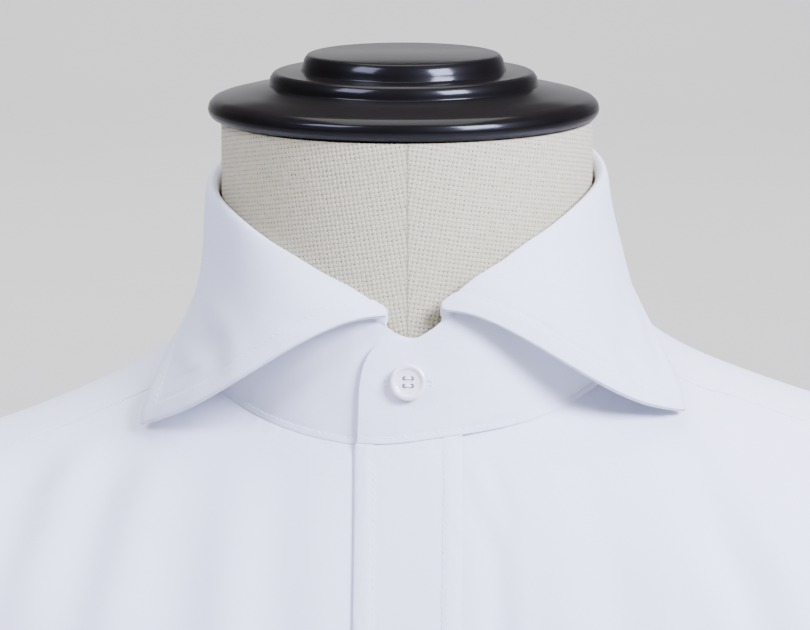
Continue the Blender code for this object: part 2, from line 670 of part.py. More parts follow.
def sleeve_normal(turn, row):
    at = min(max(row, SLEEVE_ENDS[0]), SLEEVE_ENDS[1])
    normal = normal_of(sleeve_point, turn, at, (3.0, 0.05))
    ox, oz, ix, iz, _ = smooth_rows(SLEEVE_ROWS, at)
    middle = np.array([(ox + ix) / 2, SLEEVE_MIDDLE - MIDDLE_SHIFT * at, (oz + iz) / 2])
    away = sleeve_point(turn, at) - middle
    return normal if normal @ away > 0 else -normal


def cuff_point(turn, down):
    """The cuff's outer surface on the left side, down millimetres below the sleeve."""
    ox, oz, ix, iz, depth = SLEEVE_ROWS[-1]
    c, s = math.cos(math.radians(turn)), math.sin(math.radians(turn))
    half = (ox - ix) / 2 + CUFF_EASE
    height = (oz + iz) / 2 + (oz - iz) / 2 * c - CUFF_DROP - down
    return np.array([(ox + ix) / 2 + half * c, CUFF_MIDDLE - (depth - CUFF_NARROWING) * s, height])


def cuff_way(turn):
    """The direction that the cuff's surface faces."""
    ox, _, ix, _, depth = SLEEVE_ROWS[-1]
    half = (ox - ix) / 2 + CUFF_EASE
    c, s = math.cos(math.radians(turn)), math.sin(math.radians(turn))
    return unit(np.array([c / half, -s / (depth - CUFF_NARROWING), 0.0]))


def build_cuff(side, name, turns, finish):
    downs = [0.0, CUFF_LENGTH / 2, CUFF_LENGTH]
    points = np.array([[cuff_point(t, d) for t in turns] for d in downs])
    ways = np.array([[cuff_way(t) for t in turns] for _ in downs])
    if side < 0:
        points, ways = mirror_x(points), mirror_x(ways)
    cloth_piece(f"cuff_{name}", points, ways, STAND_CLOTH, (), finish, ring=True)


def turned(name, profile, finish, low, shift_x=0.0, steps=TURNED_STEPS):
    """A turned piece from a profile of (radius, height), run from the top down its outer side."""
    mesh = bpy.data.meshes.new(name)
    points = [(radius * MM, 0.0, height * MM) for radius, height in profile]
    mesh.from_pydata(points, [(i, i + 1) for i in range(len(points) - 1)], [])
    made = bpy.data.objects.new(name, mesh)
    made.data.materials.append(finish)
    PARTS.objects.link(made)
    made.location = (shift_x * MM, 0.0, low * MM)
    screw = made.modifiers.new("turned", "SCREW")
    screw.steps = screw.render_steps = steps
    screw.use_merge_vertices = True
    screw.merge_threshold = 0.00001
    screw.use_smooth_shade = True
    return made


def button(name, centre, facing, finish):
    """A turned button with a raised rim, its underside at centre, facing outwards."""
    made = turned(name, BUTTON_PROFILE, finish, 0.0, steps=BUTTON_STEPS)
    facing = unit(facing)
    made.location = to_world(centre)
    made.rotation_mode = "QUATERNION"
    made.rotation_quaternion = Vector(facing.tolist()).to_track_quat("Z", "Y")
    return made


def build_buttons(finish, band_rows):
    middle = (PLACKET_INNER + PLACKET_OUTER) / 2
    angle = angle_of_x(middle, 0.0)
    share = COLLAR_BUTTON_HEIGHT / STAND_HEIGHT
    place = stand_point(angle, share)
    way = stand_normal(angle, share)
    button("button_collar", settle(place + way * BUTTON_GAP), way, finish)
    places, ways = body_grid([[(angle_of_x(middle, row), row) for row in band_rows[::-1]]])
    line = places[0] + ways[0] * (CLOTH + LAP_GAP)
    for i in range(FRONT_BUTTONS):
        level = -FIRST_BUTTON_DROP - BUTTON_SPACING * i
        below = int(np.argmax(line[:, 2] < level))
        upper, lower = line[below - 1], line[below]
        share = (upper[2] - level) / (upper[2] - lower[2])
        way = unit(np.cross([1.0, 0.0, 0.0], lower - upper))
        way = way if way[1] < 0 else -way
        centre = upper + (lower - upper) * share + way * BUTTON_GAP
        button(f"button_front_{i + 1}", settle(centre), way, finish)
    for side, name in ((1, "left"), (-1, "right")):
        place = cuff_point(CUFF_BUTTON_TURN, CUFF_LENGTH / 2)
        way = cuff_way(CUFF_BUTTON_TURN)
        place = place + way * BUTTON_GAP
        if side < 0:
            place, way = mirror_x(place), mirror_x(way)
        button(f"button_cuff_{name}", settle(place), way, finish)


def build_form(linen, lacquer):
    """The padded torso as one closed loft, with its turned cap, stem and base."""
    count = TORSO_COLUMNS
    rows = np.concatenate([np.arange(0, 8, 1.0), np.arange(8, 11.01, 0.75)])
    mesh = bpy.data.meshes.new("form_torso")
    shape = bmesh.new()
    grid = []
    for row in rows:
        ring = smooth_rows(FORM_RINGS, row)
        grid.append([shape.verts.new(to_world(ring_point(ring, 360 * k / count))) for k in range(count)])
    for upper, lower in zip(grid, grid[1:]):
        for j in range(count):
            k = (j + 1) % count
            shape.faces.new((upper[j], upper[k], lower[k], lower[j]))
    shape.faces.new(grid[0])
    shape.faces.new(grid[-1])
    bmesh.ops.recalc_face_normals(shape, faces=shape.faces)
    shape.to_mesh(mesh)
    shape.free()
    add_object("form_torso", mesh, linen)
    neck_top = NECK_SEAM_HEIGHT + FORM_RINGS[0][1]
    torso_low = NECK_SEAM_HEIGHT + FORM_RINGS[-1][1]
    turned("form_cap", CAP_PROFILE, lacquer, neck_top + LAP_GAP, CAP_SHIFT)
    stretch = (torso_low - LAP_GAP - (BASE_HEIGHT + LAP_GAP)) / -STEM_PROFILE[-1][1]
    stem = [(radius, height * stretch) for radius, height in STEM_PROFILE]
    turned("form_stem", stem, lacquer, torso_low - LAP_GAP, steps=STEM_STEPS)
    turned("form_base", BASE_PROFILE, lacquer, 0.0)


for old in list(bpy.data.objects):
    bpy.data.objects.remove(old, do_unlink=True)
PARTS = bpy.data.collections.new("cutaway_collar_shirt")
bpy.context.scene.collection.children.link(PARTS)

poplin = material("white poplin", (0.86, 0.87, 0.90), 0.75)
shell = material("button shell", (0.88, 0.87, 0.84), 0.3)
linen = material("natural linen", (0.55, 0.52, 0.48), 0.9)
lacquer = material("black lacquer", (0.012, 0.01, 0.01), 0.2)

placket_rows = build_fronts(poplin)
build_yoke_and_back(poplin)
build_stand(poplin)
build_leaf(poplin)
build_sleeves(poplin)
build_buttons(shell, placket_rows)
build_form(linen, lacquer)
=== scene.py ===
# %% [markdown]
# # A cutaway-collar shirt on a tabletop dress form
# A white cotton poplin shirt is buttoned to the neck on a linen-covered form with a turned, black
# lacquered cap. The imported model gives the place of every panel. This file gives each one its
# smooth cloth, folds, sewing and finish. All sizes are in metres, and the shirt faces -Y.

import math

import bmesh
import bpy
import numpy as np
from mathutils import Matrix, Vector
from mathutils.bvhtree import BVHTree
from mathutils.kdtree import KDTree


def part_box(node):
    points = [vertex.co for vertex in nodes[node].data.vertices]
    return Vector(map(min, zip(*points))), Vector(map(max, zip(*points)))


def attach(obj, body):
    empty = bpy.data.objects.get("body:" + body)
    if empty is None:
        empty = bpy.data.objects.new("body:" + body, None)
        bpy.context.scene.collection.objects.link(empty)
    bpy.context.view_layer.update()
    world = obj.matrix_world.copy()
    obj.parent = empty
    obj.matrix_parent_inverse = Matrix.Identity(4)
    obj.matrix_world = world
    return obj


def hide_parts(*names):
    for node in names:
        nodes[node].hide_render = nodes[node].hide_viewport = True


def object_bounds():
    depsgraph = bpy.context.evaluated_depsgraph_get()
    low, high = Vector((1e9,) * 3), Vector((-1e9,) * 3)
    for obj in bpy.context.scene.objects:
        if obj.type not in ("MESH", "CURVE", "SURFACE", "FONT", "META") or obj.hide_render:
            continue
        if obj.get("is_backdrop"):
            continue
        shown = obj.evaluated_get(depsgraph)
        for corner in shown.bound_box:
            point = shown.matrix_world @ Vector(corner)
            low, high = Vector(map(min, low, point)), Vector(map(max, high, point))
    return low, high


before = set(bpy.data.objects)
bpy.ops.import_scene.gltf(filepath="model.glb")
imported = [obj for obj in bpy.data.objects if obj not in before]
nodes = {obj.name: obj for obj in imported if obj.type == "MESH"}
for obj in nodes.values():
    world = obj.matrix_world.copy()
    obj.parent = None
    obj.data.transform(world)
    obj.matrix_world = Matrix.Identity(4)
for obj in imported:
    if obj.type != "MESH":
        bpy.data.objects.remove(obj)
cad_low, cad_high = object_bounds()
MM = 0.001
print("nodes:", len(nodes), "height:", round(cad_high.z, 3))

# %% [markdown]
# ## Camera
# The photograph is a close-up of the collar, taken from a little above. The picture could be framed
# with a wide lens close by or a long lens further away. The rim ellipses of the cap and the collar
# roll agree with a long lens 1.3 m away, tilted 10.4 degrees down, so that is what is built.

# %% Aim the camera at the base of the neck
CAMERA_AIM = Vector((-0.00065, 0.0, 0.827))
CAMERA_DISTANCE, CAMERA_TILT = 1.3, math.radians(10.4)
FOCAL_PIXELS, PICTURE_WIDTH, SENSOR = 3968.0, 810.0, 36.0

camera_data = bpy.data.cameras.new("camera")
camera_data.sensor_width = SENSOR
camera_data.lens = FOCAL_PIXELS / PICTURE_WIDTH * SENSOR
camera = bpy.data.objects.new("camera", camera_data)
bpy.context.scene.collection.objects.link(camera)
back_off = Vector((0.0, -math.cos(CAMERA_TILT), math.sin(CAMERA_TILT))) * CAMERA_DISTANCE
camera.location = CAMERA_AIM + back_off
camera.rotation_euler = (-back_off).to_track_quat("-Z", "Y").to_euler()
bpy.context.scene.camera = camera
print("lens:", round(camera_data.lens, 1), "mm")

# %% [markdown]
# ## Floor and backdrop
# The form stands on a wide pale floor. A floor and a wall could be two planes, but their corner
# would show as a line from other sides. One sweep that curves up, as in a studio, has no corner. Its
# wall stands far back, so that there is room to walk round the form and look at it from behind.

# %% Helpers for working by hand in edit mode
def only(piece):
    """Selects one object and nothing else."""
    bpy.ops.object.select_all(action="DESELECT")
    piece.select_set(True)
    bpy.context.view_layer.objects.active = piece
    return piece


def start_edit(piece, pick="DESELECT"):
    only(piece)
    bpy.ops.object.mode_set(mode="EDIT")
    bpy.ops.mesh.select_all(action=pick)


def stop_edit():
    bpy.ops.object.mode_set(mode="OBJECT")


def add_modifier(piece, kind, **settings):
    """Adds one modifier with its settings and applies it."""
    only(piece)
    made = piece.modifiers.new(kind.lower(), kind)
    for key, value in settings.items():
        setattr(made, key, value)
    bpy.ops.object.modifier_apply(modifier=made.name)


def settle_in_place(piece):
    """Puts the object's place, turn and size into its mesh."""
    only(piece)
    bpy.ops.object.transform_apply(location=True, rotation=True, scale=True)


def rename(piece, name):
    piece.name = name
    piece.data.name = name
    return piece


# %% Sweep the studio backdrop
FLOOR_HALF, WALL_AT, WALL_TOP, CURVE = 9.0, 8.6, 4.0, 2.0
CURVE_STEPS, NEAR = 24, 0.01

bpy.ops.mesh.primitive_plane_add(size=1.0, location=(0.0, 0.0, 0.0))
backdrop = rename(bpy.context.object, "studio_backdrop")
backdrop.scale = (2 * FLOOR_HALF, FLOOR_HALF + WALL_AT, 1.0)
backdrop.location = (0.0, (WALL_AT - FLOOR_HALF) / 2, 0.0)
settle_in_place(backdrop)
start_edit(backdrop)
bpy.ops.mesh.select_mode(type="EDGE")
sweep = bmesh.from_edit_mesh(backdrop.data)
for edge in sweep.edges:
    edge.select = all(corner.co.y > WALL_AT - NEAR for corner in edge.verts)
bmesh.update_edit_mesh(backdrop.data)
bpy.ops.mesh.extrude_region_move(TRANSFORM_OT_translate={"value": (0.0, 0.0, WALL_TOP)})
bpy.ops.mesh.select_mode(type="EDGE")
sweep = bmesh.from_edit_mesh(backdrop.data)
for edge in sweep.edges:
    middle = (edge.verts[0].co + edge.verts[1].co) / 2
    edge.select = abs(middle.y - WALL_AT) < NEAR and abs(middle.z) < NEAR
bmesh.update_edit_mesh(backdrop.data)
bpy.ops.mesh.bevel(offset=CURVE, segments=CURVE_STEPS)
stop_edit()
backdrop.data.shade_smooth()
backdrop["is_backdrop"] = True
print("backdrop faces:", len(backdrop.data.polygons))

# %% [markdown]
# ## Light
# The light in the photograph is soft and cool, brightest on the right leaf and the roll, and dimmer
# on the left. One large lamp high on the right does most of it. A second lamp high on the left and
# one above fill it in, and a faint warm sky keeps the shadows under the leaves grey. The backdrop
# and the floor in front have wide lamps of their own, because the others are too near the form to
# reach them evenly. These two are kept out of reflections, or the cap would show them as pale patches.

# %% Hang the soft lamps
def soft_lamp(name, place, size, power, colour, aim=CAMERA_AIM):
    """A square area lamp that faces the collar, or another place."""
    data = bpy.data.lights.new(name, "AREA")
    data.size = size
    data.energy = power
    data.color = colour
    lamp = bpy.data.objects.new(name, data)
    bpy.context.scene.collection.objects.link(lamp)
    lamp.location = place
    lamp.rotation_euler = (Vector(aim) - Vector(place)).to_track_quat("-Z", "Y").to_euler()
    return lamp


# name, place, size, power, colour
soft_lamp("key_lamp", (1.3, -1.2, 2.0), 0.8, 222.0, (0.66, 0.69, 1.0))
soft_lamp("fill_lamp", (-1.4, -1.1, 2.5), 1.0, 82.0, (0.62, 0.67, 1.0))
soft_lamp("top_lamp", (0.0, 0.5, 2.9), 1.6, 40.0, (1.0, 1.0, 1.0))
FAR_LAMP_HEIGHT, FAR_LAMP_SIZE = 4.6, 4.5
for name, y, power, aim_y in (("backdrop_lamp", 4.6, 480.0, 6.3), ("floor_lamp", -5.6, 150.0, -7.6)):
    place, aim = (0.0, y, FAR_LAMP_HEIGHT), (0.0, aim_y, 0.0)
    far_lamp = soft_lamp(name, place, FAR_LAMP_SIZE, power, (1.0, 1.0, 1.0), aim)
    far_lamp.visible_glossy = False

sky = bpy.data.worlds.new("studio_sky")
bpy.context.scene.world = sky
sky.use_nodes = True
sky_light = sky.node_tree.nodes["Background"]
sky_light.inputs["Color"].default_value = (1.0, 0.90, 0.85, 1.0)
sky_light.inputs["Strength"].default_value = 0.18

# %% [markdown]
# ## Finishes
# Each finish is drawn by shader nodes, at its true scale. Cloth patterns follow a UV map in metres
# that is wrapped round each piece, so the threads keep their size where the cloth turns away.
# The same pattern on object coordinates would stretch on the sides.

# %% Small helpers for shader nodes
def new_finish(name, **sockets):
    """A material whose constants are set on the shader's own sockets."""
    finish = bpy.data.materials.new(name)
    finish.use_nodes = True
    shader = finish.node_tree.nodes["Principled BSDF"]
    for key, value in sockets.items():
        shader.inputs[key.replace("_", " ")].default_value = value
    return finish, finish.node_tree, shader


def add_node(tree, kind, inputs=(), **settings):
    """One shader node; inputs are (socket, value or another node's output)."""
    node = tree.nodes.new(kind)
    for key, value in settings.items():
        setattr(node, key, value)
    for socket, value in inputs:
        if isinstance(value, bpy.types.NodeSocket):
            tree.links.new(value, node.inputs[socket])
        else:
            node.inputs[socket].default_value = value
    return node


def maths(tree, operation, first, second=0.0):
    node = add_node(tree, "ShaderNodeMath", [(0, first), (1, second)], operation=operation)
    return node.outputs[0]


def eased(tree, value, low, high):
    """Rises smoothly from 0 at one value to 1 at another."""
    inputs = [("Value", value), ("From Min", low), ("From Max", high)]
    return add_node(tree, "ShaderNodeMapRange", inputs, interpolation_type="SMOOTHSTEP").outputs[0]


def mix_colours(tree, share, first, second):
    node = add_node(tree, "ShaderNodeMix", data_type="RGBA")
    for socket, value in ((0, share), (6, first), (7, second)):
        if isinstance(value, bpy.types.NodeSocket):
            tree.links.new(value, node.inputs[socket])
        else:
            node.inputs[socket].default_value = value
    return node.outputs[2]


def plain_weave(tree, uv, across_pitch, along_pitch):
    """Height of a plain weave, whose threads pass over and under in turn, and its open corners."""
    parts = add_node(tree, "ShaderNodeSeparateXYZ", [(0, uv)])
    across = maths(tree, "SINE", maths(tree, "MULTIPLY", parts.outputs[0], math.pi / across_pitch))
    along = maths(tree, "SINE", maths(tree, "MULTIPLY", parts.outputs[1], math.pi / along_pitch))
    warp, weft = maths(tree, "ABSOLUTE", across), maths(tree, "ABSOLUTE", along)
    over = eased(tree, maths(tree, "MULTIPLY", across, along), -0.12, 0.12)
    under = maths(tree, "SUBTRACT", 1.0, over)
    both = maths(tree, "MULTIPLY", warp, weft)
    warp_high = maths(tree, "MULTIPLY", over, maths(tree, "ADD", warp, both))
    weft_high = maths(tree, "MULTIPLY", under, maths(tree, "ADD", weft, both))
    height = maths(tree, "ADD", warp_high, weft_high)
    corner = maths(tree, "SUBTRACT", 1.0, maths(tree, "MAXIMUM", warp, weft))
    return height, corner


# %% [markdown]
# ### Poplin
# Poplin is a tight plain weave of fine cotton. Its threads are a quarter of a millimetre apart, so
# from here they show only as a very fine grain. The cloth is matt, with a slight sheen at grazing
# angles. Its white is only a little cool, and the lamps add the rest. Soft clouding keeps wide panels
# from looking like plastic. Two attributes of the mesh draw what sewing does: puckers near a seam,
# and a painted shadow line, darker in the colour, where the leaf's upper layer ends.

# %% White poplin and its sewing thread
POPLIN_ACROSS, POPLIN_ALONG = 0.00026, 0.00034

poplin, tree, shader = new_finish(
    "white_poplin", Roughness=0.82, Sheen_Weight=0.12, Sheen_Roughness=0.45, Specular_IOR_Level=0.3
)
cloth_uv = add_node(tree, "ShaderNodeUVMap", uv_map="weave").outputs[0]
height, _ = plain_weave(tree, cloth_uv, POPLIN_ACROSS, POPLIN_ALONG)
clouds = add_node(tree, "ShaderNodeTexNoise", [("Vector", cloth_uv), ("Scale", 28.0), ("Detail", 3.0)])
slubs_uv = add_node(tree, "ShaderNodeMapping", [("Vector", cloth_uv), ("Scale", (2600.0, 60.0, 1.0))])
slubs = add_node(
    tree, "ShaderNodeTexNoise", [("Vector", slubs_uv.outputs[0]), ("Scale", 1.0), ("Detail", 2.0)]
)
cloud_share = maths(tree, "MULTIPLY_ADD", clouds.outputs["Fac"], 0.5)
cloud_share.node.inputs[2].default_value = 0.25
clouded = mix_colours(tree, cloud_share, (0.74, 0.75, 0.80, 1.0), (0.78, 0.79, 0.835, 1.0))
threads = maths(tree, "MULTIPLY", slubs.outputs["Fac"], 0.10)
grained = mix_colours(tree, threads, clouded, (0.66, 0.67, 0.715, 1.0))
# Painted shadow: this attribute darkens the colour in the groove where the leaf's upper layer ends
painted_layer_shadow = add_node(tree, "ShaderNodeAttribute", attribute_name="painted_layer_shadow").outputs["Fac"]
with_painted_shadow = mix_colours(tree, maths(tree, "MULTIPLY", painted_layer_shadow, 0.7), grained, (0.30, 0.31, 0.34, 1.0))
tree.links.new(with_painted_shadow, shader.inputs["Base Color"])
grain = add_node(
    tree, "ShaderNodeBump", [("Height", height), ("Strength", 0.14), ("Distance", 0.00008)]
)
near_seam = add_node(tree, "ShaderNodeAttribute", attribute_name="near_seam").outputs["Fac"]
puckers = add_node(
    tree, "ShaderNodeTexNoise", [("Vector", cloth_uv), ("Scale", 150.0), ("Detail", 1.5)]
)
pucker_height = maths(tree, "MULTIPLY", puckers.outputs["Fac"], near_seam)
bump = add_node(
    tree, "ShaderNodeBump",
    [("Height", pucker_height), ("Strength", 0.5), ("Distance", 0.0012), ("Normal", grain.outputs[0])],
)
tree.links.new(bump.outputs[0], shader.inputs["Normal"])

thread_white, tree, shader = new_finish(
    "sewing_thread", Roughness=0.55, Sheen_Weight=0.2, Specular_IOR_Level=0.4
)
thread_grain = add_node(tree, "ShaderNodeTexCoord").outputs["Object"]
twist = add_node(tree, "ShaderNodeTexNoise", [("Vector", thread_grain), ("Scale", 4000.0)])
tree.links.new(
    mix_colours(tree, twist.outputs["Fac"], (0.78, 0.79, 0.83, 1.0), (0.88, 0.89, 0.92, 1.0)),
    shader.inputs["Base Color"],
)
print("poplin nodes:", len(poplin.node_tree.nodes))

# %% [markdown]
# ### Linen
# The form's cover is natural linen. Its threads are thick and uneven, 1.45 mm apart, with small dark
# gaps between them. They fall away from the seam at the centre front, because each half of the
# cover is cut a little on the slant, so the pattern's height is tilted with the distance from it.

# %% Natural linen
LINEN_PITCH, LINEN_SLANT = 0.00145, 0.17
THREAD_SWAY, SEAM_INNER, SEAM_OUTER = 0.00055, 0.0001, 0.0006

linen, tree, shader = new_finish(
    "natural_linen", Roughness=0.9, Sheen_Weight=0.1, Sheen_Roughness=0.5, Specular_IOR_Level=0.2
)
linen_uv = add_node(tree, "ShaderNodeUVMap", uv_map="weave").outputs[0]
parts = add_node(tree, "ShaderNodeSeparateXYZ", [(0, linen_uv)])
drop = maths(tree, "MULTIPLY", maths(tree, "ABSOLUTE", parts.outputs[0]), LINEN_SLANT)
turned_across = maths(tree, "MULTIPLY", parts.outputs[1], LINEN_SLANT)
side = maths(tree, "SIGN", parts.outputs[0])
slant_u = maths(tree, "SUBTRACT", parts.outputs[0], maths(tree, "MULTIPLY", turned_across, side))
slant_v = maths(tree, "ADD", parts.outputs[1], drop)
slant = add_node(tree, "ShaderNodeCombineXYZ", [(0, slant_u), (1, slant_v)]).outputs[0]
wander = add_node(tree, "ShaderNodeTexNoise", [("Vector", slant), ("Scale", 260.0), ("Detail", 2.0)])
sway = add_node(tree, "ShaderNodeVectorMath", [(0, wander.outputs["Color"])], operation="SCALE")
sway.inputs["Scale"].default_value = THREAD_SWAY
moved = add_node(tree, "ShaderNodeVectorMath", [(0, slant), (1, sway.outputs[0])], operation="ADD")
height, corner = plain_weave(tree, moved.outputs[0], LINEN_PITCH, LINEN_PITCH)
thick = add_node(tree, "ShaderNodeTexNoise", [("Vector", slant), ("Scale", 420.0), ("Detail", 3.0)])
blots = add_node(tree, "ShaderNodeTexNoise", [("Vector", slant), ("Scale", 380.0), ("Detail", 0.0)])
hole = eased(tree, corner, 0.26, 0.80)
uneven = eased(tree, blots.outputs["Fac"], 0.42, 0.64)
depth = maths(tree, "ADD", 0.55, maths(tree, "MULTIPLY", uneven, 0.45))
yarn = mix_colours(tree, thick.outputs["Fac"], (0.42, 0.375, 0.235, 1.0), (0.625, 0.565, 0.36, 1.0))
shade = mix_colours(tree, maths(tree, "MULTIPLY", hole, depth), yarn, (0.085, 0.07, 0.06, 1.0))
beside_seam = maths(tree, "ABSOLUTE", parts.outputs[0])
off_seam = eased(tree, beside_seam, SEAM_INNER, SEAM_OUTER)
seam_line = maths(tree, "MULTIPLY", maths(tree, "SUBTRACT", 1.0, off_seam), 0.55)
seamed = mix_colours(tree, seam_line, shade, (0.22, 0.18, 0.12, 1.0))
tree.links.new(seamed, shader.inputs["Base Color"])
lumpy = maths(tree, "ADD", height, maths(tree, "MULTIPLY", thick.outputs["Fac"], 0.8))
sunk = maths(tree, "SUBTRACT", lumpy, maths(tree, "MULTIPLY", seam_line, 2.0))
bump = add_node(tree, "ShaderNodeBump", [("Height", sunk), ("Strength", 0.6), ("Distance", 0.00016)])
tree.links.new(bump.outputs[0], shader.inputs["Normal"])
print("linen pitch:", LINEN_PITCH)

# %% [markdown]
# ### Black lacquer and button shell
# The cap is turned wood under thick black lacquer. Lacquer is a clear gloss coat over a dark, nearly
# even ground, so the shader's own coat makes its highlights. A faint ripple and uneven blacks keep it
# from looking like glass. The buttons are off-white shell: smooth, glossy and softly clouded.

# %% Lacquer and shell
lacquer, tree, shader = new_finish(
    "black_lacquer", Roughness=0.45, Coat_Weight=0.33, Coat_Roughness=0.15, Specular_IOR_Level=0.05
)
place = add_node(tree, "ShaderNodeTexCoord").outputs["Object"]
fine = add_node(tree, "ShaderNodeTexNoise", [("Vector", place), ("Scale", 60.0), ("Detail", 5.0)])
tree.links.new(
    mix_colours(tree, fine.outputs["Fac"], (0.0012, 0.0010, 0.0010, 1.0), (0.005, 0.004, 0.004, 1.0)),
    shader.inputs["Base Color"],
)
ripple = add_node(tree, "ShaderNodeTexNoise", [("Vector", place), ("Scale", 35.0), ("Detail", 1.0)])
bump = add_node(
    tree, "ShaderNodeBump", [("Height", ripple.outputs["Fac"]), ("Strength", 0.08), ("Distance", 0.001)]
)
tree.links.new(bump.outputs[0], shader.inputs["Normal"])

shell, tree, shader = new_finish(
    "button_shell", Roughness=0.22, Coat_Weight=0.5, Coat_Roughness=0.1, Specular_IOR_Level=0.6
)
place = add_node(tree, "ShaderNodeTexCoord").outputs["Object"]
swirl = add_node(
    tree, "ShaderNodeTexNoise",
    [("Vector", place), ("Scale", 320.0), ("Detail", 2.0), ("Distortion", 1.5)],
)
tree.links.new(
    mix_colours(tree, swirl.outputs["Fac"], (0.74, 0.73, 0.70, 1.0), (0.90, 0.90, 0.88, 1.0)),
    shader.inputs["Base Color"],
)

studio_grey, tree, shader = new_finish("studio_grey", Roughness=0.95, Specular_IOR_Level=0.1)
place = add_node(tree, "ShaderNodeTexCoord").outputs["Object"]
paper = add_node(tree, "ShaderNodeTexNoise", [("Vector", place), ("Scale", 3.0), ("Detail", 4.0)])
tree.links.new(
    mix_colours(tree, paper.outputs["Fac"], (0.66, 0.66, 0.67, 1.0), (0.70, 0.70, 0.71, 1.0)),
    shader.inputs["Base Color"],
)
backdrop.data.materials.append(studio_grey)
print("finishes:", len(bpy.data.materials))

# %% [markdown]
# ## From packed panels to smooth cloth
# A packed panel is a thin closed wall of flat triangles. Its loose corners are merged, its triangles
# joined back into the grid they came from, and its rim creased, so that a subdivision surface can
# smooth it. Such a surface pulls in from its cage, so the cage is first pushed out by as much as it
# would pull in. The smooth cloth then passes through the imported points, and neighbours still meet.

# %% Copy a packed panel as a smooth wall
RIM_ANGLE = math.radians(48)
SAME_PLACE, PUSH_ROUNDS = 0.00001, 3


def points_of(piece):
    places = np.zeros(len(piece.data.vertices) * 3)
    piece.data.vertices.foreach_get("co", places)
    return places.reshape(-1, 3)


def put_points(piece, places):
    piece.data.vertices.foreach_set("co", places.ravel())
    piece.data.update()


def copy_node(node, name):
    """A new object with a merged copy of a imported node's mesh, its triangles joined into quads."""
    piece = bpy.data.objects.new(name, nodes[node].data.copy())
    bpy.context.scene.collection.objects.link(piece)
    rename(piece, name)
    piece.data.materials.clear()
    start_edit(piece, "SELECT")
    bpy.ops.mesh.remove_doubles(threshold=SAME_PLACE)
    bpy.ops.mesh.customdata_custom_splitnormals_clear()
    bpy.ops.mesh.tris_convert_to_quads(
        face_threshold=math.pi, shape_threshold=math.pi, topology_influence=2.0
    )
    bpy.ops.mesh.normals_make_consistent(inside=False)
    stop_edit()
    return piece


def crease_rims(piece):
    start_edit(piece)
    bpy.ops.mesh.select_mode(type="EDGE")
    bpy.ops.mesh.edges_select_sharp(sharpness=RIM_ANGLE)
    bpy.ops.transform.edge_crease(value=1.0)
    stop_edit()


def smooth_copy(node, name, levels):
    """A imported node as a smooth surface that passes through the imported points."""
    piece = copy_node(node, name)
    crease_rims(piece)
    target = points_of(piece)
    surface = piece.modifiers.new("smooth", "SUBSURF")
    surface.levels = surface.render_levels = levels
    for _ in range(PUSH_ROUNDS):
        view = bpy.context.evaluated_depsgraph_get()
        shown = piece.evaluated_get(view)
        reached = np.zeros(len(shown.data.vertices) * 3)
        shown.data.vertices.foreach_get("co", reached)
        short = target - reached.reshape(-1, 3)[:len(target)]
        put_points(piece, points_of(piece) + short)
    only(piece)
    bpy.ops.object.modifier_apply(modifier="smooth")
    return piece


# %% [markdown]
# A cloth pattern needs a UV map in metres. The panels bend round an upright axis (the trunk, the
# neck or an arm), so unrolling that cylinder keeps the threads level. The unrolling starts on the
# side away from the panel, and each face is kept in one piece, so no face is torn across the start.

# %% Wrap a UV map in metres round an upright axis
def wrap_weave(piece, centre, radius, facing):
    """Unrolls a piece from a cylinder; facing is the angle in degrees that its middle faces."""
    places = points_of(piece)
    start = math.radians(facing)
    round_it = np.arctan2(places[:, 0] - centre[0], -(places[:, 1] - centre[1])) - start
    round_it = (round_it + math.pi) % (2 * math.pi) - math.pi
    piece.data.uv_layers.new(name="weave")
    for old in [one.name for one in piece.data.uv_layers if one.name != "weave"]:
        piece.data.uv_layers.remove(piece.data.uv_layers[old])
    corners = np.zeros(len(piece.data.loops), dtype=int)
    piece.data.loops.foreach_get("vertex_index", corners)
    firsts = np.zeros(len(piece.data.polygons), dtype=int)
    totals = np.zeros(len(piece.data.polygons), dtype=int)
    piece.data.polygons.foreach_get("loop_start", firsts)
    piece.data.polygons.foreach_get("loop_total", totals)
    first_of = np.repeat(round_it[corners[firsts]], totals)
    angle = round_it[corners]
    angle = angle + 2 * math.pi * np.round((first_of - angle) / (2 * math.pi))
    flat = np.stack([angle * radius, places[corners, 2]], axis=1)
    piece.data.uv_layers["weave"].data.foreach_set("uv", flat.ravel())


# %% [markdown]
# ## Soft folds
# Worn cloth is never as even as its pattern. A cloth simulation would settle the shirt in its own
# way, and the long soft folds in the photograph are few and clear, so they are listed one by one.
# Each one is a line in space with a width and a depth. Points near the line move in, and points
# beside it rise a little, as cloth does, because its length has to go somewhere.

# %% Move cloth in soft troughs and ridges
END_SOFTNESS = 0.7
BANK_RISE, BANK_AT, BANK_WIDTH = 0.45, 1.9, 0.9
CHEST_TOP, SHOULDER_TALL = 0.69, 0.09


def distance_to_line(places, line):
    """Distance from each point to a line of points, and how far along the line that is, 0 to 1."""
    best = np.full(len(places), 1e9)
    along = np.zeros(len(places))
    lengths = np.linalg.norm(np.diff(line, axis=0), axis=1)
    total, done = lengths.sum(), 0.0
    for start, end, length in zip(line, line[1:], lengths):
        way = (end - start) / length
        at = np.clip((places - start) @ way, 0.0, length)
        away = np.linalg.norm(places - start - at[:, None] * way, axis=1)
        nearer = away < best
        best = np.where(nearer, away, best)
        along = np.where(nearer, (done + at) / total, along)
        done += length
    return best, along


def smooth_line(points, count=24):
    """A line through a few points given in millimetres, rounded between them."""
    points = np.array(points, float) * MM
    at = np.linspace(0, len(points) - 1, count)
    ends = np.vstack([2 * points[0] - points[1], points, 2 * points[-1] - points[-2]])
    made = []
    for value in at:
        row = min(int(value), len(points) - 2)
        part = value - row
        a, b, c, d = ends[row:row + 4]
        made.append(0.5 * (
            2 * b + (c - a) * part + (2 * a - 5 * b + 4 * c - d) * part**2
            + (3 * b - a - 3 * c + d) * part**3
        ))
    return np.array(made)


